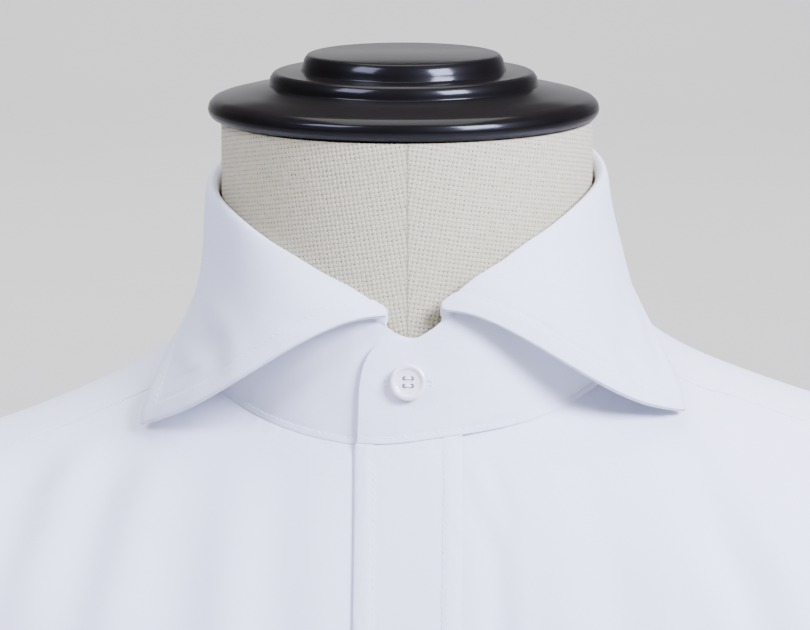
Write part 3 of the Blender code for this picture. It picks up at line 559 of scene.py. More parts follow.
def fold_amount(places, folds):
    """How far out each point moves for a list of (points, width, depth) folds."""
    total = np.zeros(len(places))
    for points, width, depth in folds:
        away, along = distance_to_line(places, smooth_line(points))
        width, depth = width * MM, depth * MM
        ends = np.sin(math.pi * np.clip(along, 0.0, 1.0)) ** END_SOFTNESS
        trough = np.exp(-((away / width) ** 2))
        banks = BANK_RISE * np.exp(-(((away - BANK_AT * width) / (BANK_WIDTH * width)) ** 2))
        total += depth * ends * (trough - banks)
    return total


def trunk_outward(places):
    """The way out of the body at each point: level on the trunk, up and out on the shoulders."""
    x, y, z = places.T
    up = np.clip((z - CHEST_TOP) / SHOULDER_TALL, 0.0, 1.0)
    ways = np.stack([x * (0.45 - 0.25 * up), y * (1.3 - 0.7 * up), SHOULDER_TALL * up], axis=1)
    return ways / np.linalg.norm(ways, axis=1, keepdims=True)


def neck_outward(places):
    ways = places * [1.0, 1.0, 0.0]
    return ways / np.maximum(np.linalg.norm(ways, axis=1, keepdims=True), 1e-6)


def shape_folds(piece, folds, outward):
    places = points_of(piece)
    put_points(piece, places + outward(places) * fold_amount(places, folds)[:, None])


def split_long_edges(piece, longest):
    """Halves every edge over a length, so that narrow folds have points enough to bend."""
    start_edit(piece)
    bpy.ops.mesh.select_mode(type="EDGE")
    shape = bmesh.from_edit_mesh(piece.data)
    for edge in shape.edges:
        edge.select = edge.calc_length() > longest
    bmesh.update_edit_mesh(piece.data)
    bpy.ops.mesh.subdivide(number_cuts=1, smoothness=1.0)
    stop_edit()


# Lines in millimetres; a negative depth is a trough and a positive one a ridge
TRUNK_FOLDS = [
    # chest on the shirt's left, a long soft diagonal from under the collar
    ([(84, -36, 806), (89, -53, 792), (98, -72, 771), (108, -86, 749), (118, -100, 715)], 7.0, -2.6),
    ([(93, -16, 810), (99, -31, 801), (105, -42, 794), (112, -58, 780)], 6.0, -1.3),
    ([(116, -24, 799), (122, -39, 789), (128, -56, 770), (132, -72, 745)], 8.0, -1.9),
    ([(26, -76, 797), (27, -84, 780), (28, -94, 757), (29, -104, 725), (32, -112, 690)], 4.0, -1.3),
    ([(19, -74, 799), (24, -80, 786), (31, -88, 768)], 3.0, 0.8),
    ([(52, -64, 799), (60, -80, 776), (66, -94, 744), (70, -106, 700)], 9.0, -1.6),
    # chest on the right
    ([(-40, -68, 798), (-42, -84, 778), (-42, -98, 750), (-40, -112, 700)], 8.0, -1.5),
    ([(-62, -60, 786), (-70, -80, 762), (-76, -98, 722), (-78, -110, 680)], 10.0, -2.2),
    ([(-90, -34, 800), (-96, -58, 780), (-104, -80, 745), (-108, -92, 710)], 8.0, -1.7),
    ([(-118, -30, 790), (-124, -52, 768), (-130, -78, 730)], 9.0, -1.9),
    # waist and hips
    ([(150, -74, 640), (110, -108, 600), (70, -122, 560), (30, -124, 520)], 12.0, -2.2),
    ([(-150, -74, 630), (-105, -110, 585), (-60, -122, 548)], 12.0, -2.4),
    ([(60, -120, 430), (95, -100, 380), (110, -92, 300), (112, -94, 200)], 11.0, -2.6),
    ([(-52, -122, 440), (-82, -106, 380), (-96, -100, 290), (-100, -98, 190)], 11.0, -2.4),
    ([(20, -124, 330), (26, -122, 260), (24, -122, 160)], 9.0, -1.4),
    ([(165, -40, 470), (168, -10, 400), (172, -4, 300)], 12.0, -2.2),
    ([(-165, -38, 480), (-168, 6, 390), (-172, 10, 290)], 12.0, -2.2),
    # back
    ([(-20, 100, 640), (-30, 104, 540), (-34, 98, 440), (-30, 104, 300)], 13.0, -2.6),
    ([(44, 96, 650), (56, 98, 540), (60, 92, 420), (58, 98, 280)], 13.0, -2.4),
    ([(-96, 80, 560), (-98, 74, 460), (-104, 80, 330), (-108, 84, 220)], 12.0, -2.8),
    ([(104, 80, 590), (112, 72, 480), (112, 74, 350), (116, 82, 230)], 12.0, -2.2),
    ([(-120, 72, 700), (-90, 92, 650), (-50, 100, 610)], 11.0, -1.6),
    ([(124, 70, 705), (96, 90, 660), (60, 100, 630)], 10.0, -1.4),
    ([(-70, 66, 812), (-96, 52, 800), (-122, 40, 790)], 8.0, -0.8),
    ([(66, 68, 812), (92, 54, 800), (124, 40, 792)], 8.0, -0.8),
]
LEAF_DENTS = [
    ([(-70, -22, 834), (-66, -38, 829), (-60, -52, 825), (-60, -58, 819), (-65, -56, 813)], 4.6, -1.4),
    ([(-44, -66, 838), (-34, -70, 838), (-24, -70, 840)], 2.6, -0.45),
    ([(-48, -62, 845), (-36, -68, 845), (-26, -70, 846)], 2.4, 0.4),
    ([(66, -48, 830), (70, -50, 822), (76, -48, 813)], 4.8, -1.1),
    ([(75, -20, 834), (75, -32, 828), (77, -38, 820)], 4.0, 0.8),
    ([(30, -70, 842), (44, -66, 846), (56, -58, 852)], 3.6, -0.45),
    ([(48, 60, 858), (40, 70, 846)], 6.0, -0.6),
    ([(-52, 56, 856), (-56, 58, 842)], 6.0, -0.6),
]

# %% [markdown]
# ## Shirt panels
# Each panel is its own piece, as it is cut and sewn: a leaf, a stand, two fronts, a placket, a yoke
# and a back. They share one set of folds, so their seams stay closed where a fold crosses them.

# %% Make the trunk and collar panels
TRUNK_AXIS, TRUNK_RADIUS = (0.0, 0.0), 0.150
NECK_AXIS, NECK_RADIUS = (0.0, 0.0), 0.068
LONGEST_EDGE, SMOOTHNESS = 0.0042, 3

PANELS = {
    # node: folds, outward, axis, radius, facing
    "front_left": (TRUNK_FOLDS, trunk_outward, TRUNK_AXIS, TRUNK_RADIUS, 45),
    "front_right": (TRUNK_FOLDS, trunk_outward, TRUNK_AXIS, TRUNK_RADIUS, -45),
    "placket": (TRUNK_FOLDS, trunk_outward, TRUNK_AXIS, TRUNK_RADIUS, 0),
    "yoke": (TRUNK_FOLDS, trunk_outward, TRUNK_AXIS, TRUNK_RADIUS, 180),
    "back": (TRUNK_FOLDS, trunk_outward, TRUNK_AXIS, TRUNK_RADIUS, 180),
    "collar_stand": ([], neck_outward, NECK_AXIS, NECK_RADIUS, 0),
    "collar_leaf": (LEAF_DENTS, neck_outward, NECK_AXIS, NECK_RADIUS, 180),
}
pieces = {}
for node, (folds, outward, axis, radius, facing) in PANELS.items():
    panel = smooth_copy(node, f"{node}_cloth", SMOOTHNESS)
    if node.startswith("front") or node in ("yoke", "placket"):
        split_long_edges(panel, LONGEST_EDGE)
    if folds:
        shape_folds(panel, folds, outward)
    wrap_weave(panel, axis, radius, facing)
    panel.data.materials.append(poplin)
    pieces[node] = panel
    print(node, "faces:", len(panel.data.polygons))

# %% [markdown]
# ## Sleeves and cuffs
# A sleeve hangs close to the trunk and breaks at the elbow and above the cuff. Its folds run round
# the arm, deepest at the inside of the elbow. They are shaped in the same way as the trunk's, but
# outward is away from the arm's own axis, and each arm gets its own folds so the two don't match.

# %% Make the sleeves and cuffs
ARM_X, ARM_RADIUS, ARM_FLATNESS = 0.229, 0.05, 0.35


def arm_outward(side):
    def outward(places):
        ways = places - [side * ARM_X, 0.0, 0.0]
        ways[:, 2] = 0.0
        ways[:, 1] *= ARM_FLATNESS
        return ways / np.maximum(np.linalg.norm(ways, axis=1, keepdims=True), 1e-6)
    return outward


LEFT_ARM_FOLDS = [
    ([(208, -58, 560), (228, -74, 548), (248, -40, 534), (254, -6, 528)], 9.0, -3.4),
    ([(207, -50, 515), (230, -70, 506), (250, -34, 512), (254, 6, 520)], 8.0, -3.0),
    ([(208, -40, 470), (226, -66, 468), (248, -36, 480), (253, -4, 492)], 9.0, -2.6),
    ([(208, 50, 545), (228, 70, 520), (248, 40, 505)], 9.0, -2.8),
    ([(208, 44, 440), (226, 62, 420), (248, 36, 400)], 9.0, -2.4),
    ([(250, -30, 690), (254, -10, 650), (255, 10, 600)], 10.0, -2.0),
    ([(238, -64, 700), (246, -60, 640), (248, -56, 590)], 9.0, -1.8),
    ([(208, -40, 330), (228, -62, 322), (248, -30, 330), (252, 0, 342)], 7.0, -2.4),
    ([(208, -36, 280), (228, -56, 268), (248, -26, 276)], 6.0, -2.2),
    ([(208, 34, 300), (228, 54, 286), (248, 24, 270)], 7.0, -2.2),
    ([(230, 62, 660), (240, 66, 600), (236, 70, 560)], 10.0, -1.8),
]
RIGHT_ARM_FOLDS = [
    ([(-208, -54, 545), (-228, -73, 530), (-248, -42, 520), (-254, -4, 518)], 9.0, -3.2),
    ([(-207, -50, 500), (-230, -69, 488), (-250, -30, 492), (-254, 8, 500)], 8.0, -3.0),
    ([(-208, -42, 455), (-228, -64, 448), (-248, -34, 456)], 8.0, -2.2),
    ([(-208, 48, 530), (-228, 68, 500), (-248, 42, 488)], 10.0, -2.8),
    ([(-208, 44, 410), (-228, 60, 396), (-248, 36, 380)], 9.0, -2.2),
    ([(-248, -36, 690), (-254, -14, 640), (-255, 4, 590)], 11.0, -2.0),
    ([(-236, -66, 690), (-244, -62, 630), (-248, -58, 585)], 9.0, -1.6),
    ([(-208, -38, 318), (-228, -60, 306), (-248, -30, 314), (-252, 2, 328)], 7.0, -2.4),
    ([(-208, -34, 270), (-228, -55, 258), (-248, -24, 262)], 6.0, -2.0),
    ([(-208, 32, 290), (-228, 52, 274), (-248, 26, 262)], 7.0, -2.0),
    ([(-230, 62, 650), (-242, 64, 590), (-238, 68, 545)], 10.0, -1.8),
]

for side, hand, folds in ((1, "left", LEFT_ARM_FOLDS), (-1, "right", RIGHT_ARM_FOLDS)):
    for node in (f"sleeve_{hand}", f"cuff_{hand}"):
        panel = smooth_copy(node, f"{node}_cloth", SMOOTHNESS)
        if node.startswith("sleeve"):
            shape_folds(panel, folds, arm_outward(side))
        wrap_weave(panel, (side * ARM_X, 0.0), ARM_RADIUS, 90 * side)
        panel.data.materials.append(poplin)
        pieces[node] = panel
        print(node, "faces:", len(panel.data.polygons))

# %% [markdown]
# ## Dress form
# The form is a padded torso in linen under a turned cap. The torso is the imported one, smoothed. The
# cap, stem and base could be smoothed copies too, but lacquer shows every flat, so they are turned
# anew: a disc is extruded and scaled from ring to ring, as on a lathe, and its edges are bevelled.

# %% Smooth the linen torso
LINEN_RADIUS = 0.061

torso = smooth_copy("form_torso", "torso_linen", SMOOTHNESS)
wrap_weave(torso, NECK_AXIS, LINEN_RADIUS, 0)
torso.data.materials.append(linen)
pieces["form_torso"] = torso


# %% Turn the cap, stem and base
BEVEL_FROM, SMOOTH_BELOW = math.radians(24), math.radians(35)
ROUND_STEPS, STEM_STEPS, TURNED_EDGE, CAP_EDGE = 160, 64, 0.001, 0.0004


def turn_piece(name, profile, centre_x, steps, edge):
    """Turns a closed piece from (radius, height) rings, given in metres from the bottom up."""
    first_radius, first_height = profile[0]
    bpy.ops.object.select_all(action="DESELECT")
    bpy.ops.mesh.primitive_circle_add(
        vertices=steps, radius=first_radius, fill_type="NGON", location=(centre_x, 0.0, first_height)
    )
    piece = rename(bpy.context.object, name)
    start_edit(piece, "SELECT")
    middle = (centre_x, 0.0, 0.0)
    radius, height = first_radius, first_height
    for next_radius, next_height in profile[1:]:
        bpy.ops.mesh.extrude_region_move(
            TRANSFORM_OT_translate={"value": (0.0, 0.0, next_height - height)}
        )
        grow = next_radius / radius
        bpy.ops.transform.resize(value=(grow, grow, 1.0), center_override=middle)
        radius, height = next_radius, next_height
    bpy.ops.mesh.select_all(action="SELECT")
    bpy.ops.mesh.normals_make_consistent(inside=False)
    stop_edit()
    settle_in_place(piece)
    add_modifier(
        piece, "BEVEL", width=edge, segments=3, limit_method="ANGLE", angle_limit=BEVEL_FROM
    )
    only(piece)
    bpy.ops.object.shade_smooth_by_angle(angle=SMOOTH_BELOW)
    return piece


cap_low, cap_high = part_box("form_cap")
CAP_RINGS = [
    # radius, height, in millimetres
    (60.6, 0.0), (62.4, 0.8), (63.3, 2.1), (63.5, 3.5), (63.0, 5.2), (61.7, 6.5), (59.6, 7.35),
    (52.8, 9.0), (43.6, 10.75), (43.5, 11.9), (43.3, 13.2), (42.4, 14.6), (41.2, 15.2),
    (33.2, 15.3), (32.8, 17.2), (32.2, 19.2), (31.2, 20.6), (29.8, 21.0),
]
cap_rings = [(radius * MM, cap_low.z + height * MM) for radius, height in CAP_RINGS]
cap_middle = (cap_low + cap_high) / 2
cap = turn_piece("neck_cap", cap_rings, cap_middle.x, ROUND_STEPS, CAP_EDGE)

stem_low, stem_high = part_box("form_stem")
STEM_RINGS = [
    # radius in millimetres, share of the stem's height
    (30.0, 0.0), (26.0, 0.055), (16.0, 0.182), (13.0, 0.455), (15.0, 0.727), (22.0, 0.80),
    (22.0, 0.873), (17.0, 0.927), (17.0, 1.0),
]
stem_tall = stem_high.z - stem_low.z
stem_rings = [(radius * MM, stem_low.z + share * stem_tall) for radius, share in STEM_RINGS]
stem = turn_piece("stem_turned", stem_rings, 0.0, STEM_STEPS, TURNED_EDGE)

BASE_RINGS = [
    # radius, height, in millimetres
    (133.0, 0.0), (136.0, 2.0), (138.0, 6.5), (136.0, 11.0), (128.0, 15.0), (110.0, 18.5),
    (60.0, 24.0), (46.0, 26.0),
]
base_rings = [(radius * MM, height * MM) for radius, height in BASE_RINGS]
base = turn_piece("base_turned", base_rings, 0.0, ROUND_STEPS, TURNED_EDGE)
for piece, node in ((cap, "form_cap"), (stem, "form_stem"), (base, "form_base")):
    piece.data.materials.append(lacquer)
    pieces[node] = piece
print("cap top:", round(cap_high.z, 4))

# %% [markdown]
# ## Seams
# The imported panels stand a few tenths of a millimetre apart, so that each one is a body of its own.
# On the shirt a seam is closed. A strip of cloth could be laid under each gap, but moving the rims
# of the two panels to the middle of their gap needs nothing more, and leaves a fine line.

# %% Close the seams
SEAM_REACH, SEAM_LEFT, SEAM_SPREAD = 0.0022, 0.00003, 0.005
PANEL_ANGLE, LEAF_ANGLE = math.radians(20), math.radians(36)


def patch_angle(piece):
    """The sharpest bend inside a panel's face; the leaf rolls over more sharply than the rest."""
    return LEAF_ANGLE if piece.name.startswith("collar_leaf") else PANEL_ANGLE


def smooth_patches(shape, angle):
    """The faces in groups that meet smoothly, the largest group first."""
    shape.normal_update()
    shape.faces.ensure_lookup_table()
    patches, seen = [], set()
    for first in shape.faces:
        if first.index in seen:
            continue
        seen.add(first.index)
        patch, ahead = [], [first]
        while ahead:
            face = ahead.pop()
            patch.append(face)
            for edge in face.edges:
                if edge.calc_face_angle(math.pi) > angle:
                    continue
                for other in edge.link_faces:
                    if other.index not in seen:
                        seen.add(other.index)
                        ahead.append(other)
        patches.append(patch)
    return sorted(patches, key=lambda patch: -sum(face.calc_area() for face in patch))


def rim_corners(piece):
    """Indices of the points on a wall's narrow rim, which is all but its two large patches."""
    shape = bmesh.new()
    shape.from_mesh(piece.data)
    patches = smooth_patches(shape, patch_angle(piece))
    rim = {corner.index for patch in patches[2:] for face in patch for corner in face.verts}
    shape.free()
    return sorted(rim)


def tree_of(piece):
    return BVHTree.FromPolygons(
        points_of(piece).tolist(), [tuple(face.vertices) for face in piece.data.polygons]
    )


def nearest_points(places, marks):
    """For each place the index of the nearest mark and the distance to it."""
    finder = KDTree(len(marks))
    for k, mark in enumerate(marks):
        finder.insert(mark, k)
    finder.balance()
    found = [finder.find(place) for place in places]
    return np.array([one[1] for one in found]), np.array([one[2] for one in found])


def seam_pull(piece, others):
    """How each point of a panel moves so that its rim meets the panels beside it half way."""
    places = points_of(piece)
    rim = rim_corners(piece)
    pulls = np.zeros((len(rim), 3))
    for k, index in enumerate(rim):
        nearest = SEAM_REACH
        for other in others:
            spot, _, _, gap = other.find_nearest(Vector(places[index]), nearest)
            if spot is not None and gap > SEAM_LEFT:
                nearest = gap
                pulls[k] = (np.array(spot) - places[index]) * 0.5 * (gap - SEAM_LEFT) / gap
    mark, away = nearest_points(places, places[rim])
    share = np.clip(1.0 - away / SEAM_SPREAD, 0.0, 1.0) ** 2
    return pulls[mark] * share[:, None]


cloth = {node: piece for node, piece in pieces.items() if not node.startswith("form_")}
wall_trees = {node: tree_of(piece) for node, piece in cloth.items()}
moved_points = {}
for node, piece in cloth.items():
    beside = [other for other in cloth if other != node and "collar_leaf" not in (node, other)]
    if node == "collar_leaf":
        beside = ["collar_stand"]
    if node == "collar_stand":
        beside.append("collar_leaf")
    pull = seam_pull(piece, [wall_trees[other] for other in beside])
    moved_points[node] = points_of(piece) + pull
    print(node, "closed by up to", round(float(np.linalg.norm(pull, axis=1).max()) / MM, 2), "mm")
for node, piece in cloth.items():
    put_points(piece, moved_points[node])

# %% [markdown]
# ## Finding the sewing lines
# Stitches run beside an edge or a seam at an even distance. Drawing each row by hand would be slow
# and never quite parallel. Instead the panel's own outer border is read from its mesh, split into
# sides at its corners, and each side is moved inwards over the surface by the width of the margin.

# %% Read a panel's border and lay a line beside it
BORDER_STEP, CORNER_REACH, CORNER_COSINE = 0.001, 5, 0.80
LEAST_MARGIN = 0.8


def outer_faces(shape, angle, outward):
    """The faces on the outer side of a wall: of its two large patches, the one facing outwards."""
    best, most = None, 0.0
    for patch in smooth_patches(shape, angle)[:2]:
        centres = np.array([tuple(face.calc_center_median()) for face in patch])
        normals = np.array([tuple(face.normal) for face in patch])
        sizes = np.array([face.calc_area() for face in patch])
        turned_out = ((outward(centres) * normals).sum(axis=1) * sizes).sum()
        if turned_out > most:
            best, most = patch, turned_out
    return best


def read_border(piece, outward):
    """A wall's outer border in sides, its outer face as a search tree, its points and their ways."""
    shape = bmesh.new()
    shape.from_mesh(piece.data)
    kept = outer_faces(shape, patch_angle(piece), outward)
    keep = {face.index for face in kept}
    ways = {}
    for face in kept:
        for corner in face.verts:
            ways[corner.index] = ways.get(corner.index, 0.0) + np.array(face.normal) * face.calc_area()
    face_points = sorted(ways)
    face_ways = np.array([ways[index] for index in face_points])
    face_ways /= np.linalg.norm(face_ways, axis=1, keepdims=True)
    drop = [face for face in shape.faces if face.index not in keep]
    bmesh.ops.delete(shape, geom=drop, context="FACES")
    tree = BVHTree.FromBMesh(shape)
    links = {}
    for edge in shape.edges:
        if edge.is_boundary:
            one, two = edge.verts
            links.setdefault(one, []).append(two)
            links.setdefault(two, []).append(one)
    sides, seen = [], set()
    for first in links:
        if first in seen:
            continue
        chain, here = [first], first
        seen.add(first)
        while True:
            ahead = [other for other in links[here] if other not in seen]
            if not ahead:
                break
            here = ahead[0]
            seen.add(here)
            chain.append(here)
        loop = np.array([tuple(corner.co) for corner in chain + chain[:1]])
        sides += split_at_corners(resampled(loop, BORDER_STEP)[:-1])
    shape.free()
    return sides, tree, face_points, face_ways


def split_at_corners(loop):
    one = loop - np.roll(loop, CORNER_REACH, axis=0)
    two = np.roll(loop, -CORNER_REACH, axis=0) - loop
    bend = (one * two).sum(axis=1) / (np.linalg.norm(one, axis=1) * np.linalg.norm(two, axis=1))
    near = [np.roll(bend, k) for k in range(-CORNER_REACH, CORNER_REACH + 1)]
    corners = np.flatnonzero((bend < CORNER_COSINE) & (bend <= np.min(near, axis=0)))
    if len(corners) == 0:
        return [np.vstack([loop, loop[:1]])]
    turned = np.roll(loop, -corners[0], axis=0)
    closed = np.vstack([turned, turned[:1]])
    cuts = list(corners - corners[0]) + [len(loop)]
    return [closed[a:b + 1] for a, b in zip(cuts, cuts[1:]) if b - a > 2]


def resampled(line, step):
    along = np.concatenate([[0.0], np.cumsum(np.linalg.norm(np.diff(line, axis=0), axis=1))])
    count = max(int(round(along[-1] / step)), 2)
    at = np.linspace(0, along[-1], count + 1)
    return np.stack([np.interp(at, along, line[:, k]) for k in range(3)], axis=1)


def line_beside(side, others, tree, margin, step):
    """A side moved inwards over the surface, with the facing way at each of its points."""
    line = resampled(side, step)
    ways = np.gradient(line, axis=0)
    ways /= np.linalg.norm(ways, axis=1, keepdims=True)
    found, facings = [], []
    for place, way in zip(line, ways):
        near, normal, _, _ = tree.find_nearest(Vector(place))
        inwards = normal.cross(Vector(way)).normalized()
        best = None
        for sign in (1, -1):
            spot, face_way, _, gap = tree.find_nearest(Vector(place) + inwards * margin * sign)
            if best is None or gap < best[2]:
                best = (spot, face_way, gap)
        spot, face_way, _ = best
        far = np.linalg.norm(others - np.array(spot), axis=1).min()
        if far > margin * LEAST_MARGIN:
            found.append(np.array(spot))
            facings.append(np.array(face_way))
    return np.array(found), np.array(facings)


# %% [markdown]
# ## Edge bands
# Inside a sewn edge the cloth is folded under, so a band beside the edge lies a little higher, and
# the stitches pull a shallow groove at its end. The leaf is also made of two layers that meet along
# its edge. Both are moved points: at this size they are too fine to need cloth of their own. The
# groove where the layers meet also gets a painted shadow in the colour.

# %% Raise the bands and mark where seams pucker
FINE_STEP = 0.0002
BAND_SLOPE, GROOVE_WIDTH = 0.25, 0.0009
LAYER_AT, LAYER_DEEP, LAYER_WIDTH = 0.0005, 0.00036, 0.00016
PUCKER_REACH, PUCKER_FADE = 0.013, 1.5


def nearest_side(sides, place):
    place = np.array(place) * MM
    return min(sides, key=lambda side: np.linalg.norm(side - place, axis=1).min())


def outward_of(node):
    if node in PANELS:
        return PANELS[node][1]
    return arm_outward(1 if node.endswith("left") else -1)


def point_normals(piece):
    normals = np.zeros(len(piece.data.vertices) * 3)
    piece.data.vertices.foreach_get("normal", normals)
    return normals.reshape(-1, 3)


def raise_band(piece, face_points, face_ways, lines, width, height, groove):
    """Lifts the outer face between some sides and a stitch line, and sinks the line itself."""
    fine = np.vstack([resampled(line, FINE_STEP) for line in lines])
    places = points_of(piece)
    _, away = nearest_points(places[face_points], fine)
    rise = np.clip((width - away) / (BAND_SLOPE * width), 0.0, 1.0)
    rise = rise * rise * (3 - 2 * rise) * height
    sink = groove * np.exp(-(((away - width) / GROOVE_WIDTH) ** 2))
    places[face_points] += face_ways * (rise - sink)[:, None]
    put_points(piece, places)


def groove_rim(piece, lines):
    """Presses a fine groove along a rim, where the upper layer of cloth ends, and paints its shadow."""
    places = points_of(piece)
    rim = np.array(rim_corners(piece))
    fine = np.vstack([resampled(line, FINE_STEP) for line in lines])
    _, away = nearest_points(places[rim], fine)
    sink = LAYER_DEEP * np.exp(-(((away - LAYER_AT) / LAYER_WIDTH) ** 2))
    places[rim] -= point_normals(piece)[rim] * sink[:, None]
    put_points(piece, places)
    # Painted shadow: how much the poplin colour darkens along the groove
    shade = np.zeros(len(places))
    shade[rim] = sink / LAYER_DEEP
    piece.data.attributes.new("painted_layer_shadow", "FLOAT", "POINT").data.foreach_set("value", shade)


def mark_seams(piece, sides):
    """A number at each point, 1 at the panel's border and 0 beyond the reach of its puckers."""
    _, away = nearest_points(points_of(piece), np.vstack(sides))
    mark = piece.data.attributes.new("near_seam", "FLOAT", "POINT")
    mark.data.foreach_set("value", np.clip(1.0 - away / PUCKER_REACH, 0.0, 1.0) ** PUCKER_FADE)


BANDS = [
    # node, points in millimetres by the sides that it follows, width, height, groove
    ("collar_leaf", [(60, -60, 818), (-60, -60, 816), (0, 79, 838)], 6.3, 0.30, 0.20),
    ("collar_stand", [(40, -60, 802)], 1.9, 0.22, 0.12),
    ("placket", [(17, -120, 640), (-16, -120, 640)], 6.3, 0.22, 0.16),
    ("cuff_left", [(229, -52, 140), (229, -52, 205)], 5.0, 0.25, 0.15),
    ("cuff_right", [(-229, -52, 140), (-229, -52, 205)], 5.0, 0.25, 0.15),
    ("yoke", [(105, -18, 803), (-105, -14, 800), (0, 103, 700)], 1.8, 0.25, 0.10),
]
for node, nears, width, height, groove in BANDS:
    sides, _, face_points, face_ways = read_border(cloth[node], outward_of(node))
    lines = [nearest_side(sides, near) for near in nears]
    raise_band(cloth[node], face_points, face_ways, lines, width * MM, height * MM, groove * MM)
    if node == "collar_leaf":
        groove_rim(cloth[node], lines)
borders, trees = {}, {}
for node, piece in cloth.items():
    borders[node], trees[node], _, _ = read_border(piece, outward_of(node))
    mark_seams(piece, borders[node])
    print(node, "sides in mm:", [len(side) for side in borders[node]])

# %% [markdown]
# ## Stitches
# One lockstitch is a short length of thread that rises from the cloth and dives back into it. It is
# modelled once from a small sphere, stretched and bent down at its ends. A row is many copies of
# it, laid end to end along a line, in one mesh.

# %% Model one stitch
STITCH_LENGTH, STITCH_GAP, THREAD = 0.0021, 0.00045, 0.00034
BLUNTNESS, DIVE, LIFT = 0.8, 0.75, 0.22

bpy.ops.object.select_all(action="DESELECT")
bpy.ops.mesh.primitive_uv_sphere_add(segments=6, ring_count=5, radius=0.5, location=(0, 0, 0))
stitch = rename(bpy.context.object, "one_stitch")
start_edit(stitch, "SELECT")
bpy.ops.transform.rotate(value=math.pi / 2, orient_axis="Y", center_override=(0.0, 0.0, 0.0))
stop_edit()
stitch_points = points_of(stitch)
stitch_points[:, 0] = np.sign(stitch_points[:, 0]) * np.abs(2 * stitch_points[:, 0]) ** BLUNTNESS / 2
stitch_points = stitch_points * [STITCH_LENGTH - STITCH_GAP, THREAD, THREAD]
stitch_points[:, 2] -= THREAD * DIVE * (2 * stitch_points[:, 0] / STITCH_LENGTH) ** 2
stitch_faces = [tuple(face.vertices) for face in stitch.data.polygons]
bpy.data.objects.remove(stitch)
print("faces in a stitch:", len(stitch_faces))


def stitch_mesh(name, spots, ways, facings, long=1.0, fat=1.0):
    """Copies of the stitch at each spot, lengthwise along its way, in one mesh."""
    ways = ways / np.linalg.norm(ways, axis=1, keepdims=True)
    sides = np.cross(facings, ways)
    sides /= np.linalg.norm(sides, axis=1, keepdims=True)
    ups = np.cross(ways, sides)
    model = stitch_points * [long, fat, fat]
    places = (
        spots[:, None, :]
        + model[None, :, :1] * ways[:, None, :]
        + model[None, :, 1:2] * sides[:, None, :]
        + (model[None, :, 2:] + THREAD * LIFT) * ups[:, None, :]
    ).reshape(-1, 3)
    faces = [
        tuple(corner + k * len(model) for corner in face)
        for k in range(len(spots)) for face in stitch_faces
    ]
    mesh = bpy.data.meshes.new(name)
    mesh.from_pydata(places.tolist(), [], faces)
    mesh.shade_smooth()
    made = bpy.data.objects.new(name, mesh)
    bpy.context.scene.collection.objects.link(made)
    made.data.materials.append(thread_white)
    return made


def stitch_row(name, line, facings):
    """A row of stitches along a line of points one stitch apart."""
    ways = np.gradient(line, axis=0)
    gaps = np.linalg.norm(np.diff(line, axis=0), axis=1)
    keep = np.ones(len(line), bool)
    keep[:-1] &= gaps < 2.5 * STITCH_LENGTH
    return stitch_mesh(name, line[keep], ways[keep], facings[keep])


# %% Sew the rows
ROWS = {
    # row: node, a point in millimetres by the side that it follows, margin in millimetres
    "leaf_front_left": ("collar_leaf", (60, -60, 818), 6.3),
    "leaf_front_right": ("collar_leaf", (-60, -60, 816), 6.3),
    "leaf_back": ("collar_leaf", (0, 79, 838), 6.3),
    "stand_seam": ("collar_stand", (40, -60, 802), 1.8),
    "placket_left": ("placket", (17, -120, 640), 6.3),
    "placket_right": ("placket", (-16, -120, 640), 6.3),
    "yoke_front_left": ("yoke", (105, -18, 803), 1.6),
    "yoke_front_right": ("yoke", (-105, -14, 800), 1.6),
    "yoke_back": ("yoke", (0, 103, 700), 1.6),
    "front_left_armhole": ("front_left", (180, -52, 640), 8.0),
    "front_right_armhole": ("front_right", (-178, -52, 640), 8.0),
    "front_left_side": ("front_left", (178, 2, 380), 2.0),
    "front_right_side": ("front_right", (-178, 2, 380), 2.0),
    "front_left_hem": ("front_left", (90, -100, 112), 6.0),
    "front_right_hem": ("front_right", (-90, -100, 112), 6.0),
    "back_hem": ("back", (0, 114, 86), 6.0),
    "back_left_armhole": ("back", (180, 46, 660), 8.0),
    "back_right_armhole": ("back", (-180, 46, 660), 8.0),
    "yoke_left_armhole": ("yoke", (190, 20, 778), 8.0),
    "yoke_right_armhole": ("yoke", (-190, 20, 778), 8.0),
    "cuff_left_top": ("cuff_left", (229, -52, 205), 5.0),
    "cuff_left_end": ("cuff_left", (229, -52, 140), 5.0),
    "cuff_right_top": ("cuff_right", (-229, -52, 205), 5.0),
    "cuff_right_end": ("cuff_right", (-229, -52, 140), 5.0),
}


sewing = {node: [] for node in pieces}
for row, (node, near, margin) in ROWS.items():
    side = nearest_side(borders[node], near)
    line, facings = line_beside(
        side, np.vstack(borders[node]), trees[node], margin * MM, STITCH_LENGTH
    )
    sewn = stitch_row(f"{row}_stitches", line, facings)
    sewing[node].append(sewn)
    print(row, "stitches:", len(sewn.data.vertices) // len(stitch_points))

# %% Round the cloth's edges
CLOTH_EDGE = 0.00022

for node, piece in cloth.items():
    add_modifier(
        piece, "BEVEL", width=CLOTH_EDGE, segments=2, limit_method="ANGLE", angle_limit=RIM_ANGLE
    )
    piece.data.shade_smooth()

# %% [markdown]
# ## Buttons
# The buttons are plain four-hole shell buttons with a raised rim. A packed button is a turned solid
# without holes, so one new button is turned, its holes are cut, and it is copied to each place. Two
# bars of thread hold it, and the ends of a stitched buttonhole show beside it.

# %% Turn one button and cut its holes
BUTTON_RINGS = [
    (4.7, 0.0), (5.4, 0.35), (5.72, 1.0), (5.7, 1.7), (5.45, 2.25), (5.0, 2.5), (4.5, 2.45),
    (4.05, 2.1), (3.75, 1.85), (3.4, 1.75),
]
HOLE_PLACE, HOLE_RADIUS, BUTTON_TALL = 0.00118, 0.00068, 0.0025
BUTTON_STEPS, HOLE_STEPS, BUTTON_EDGE = 48, 20, 0.00008

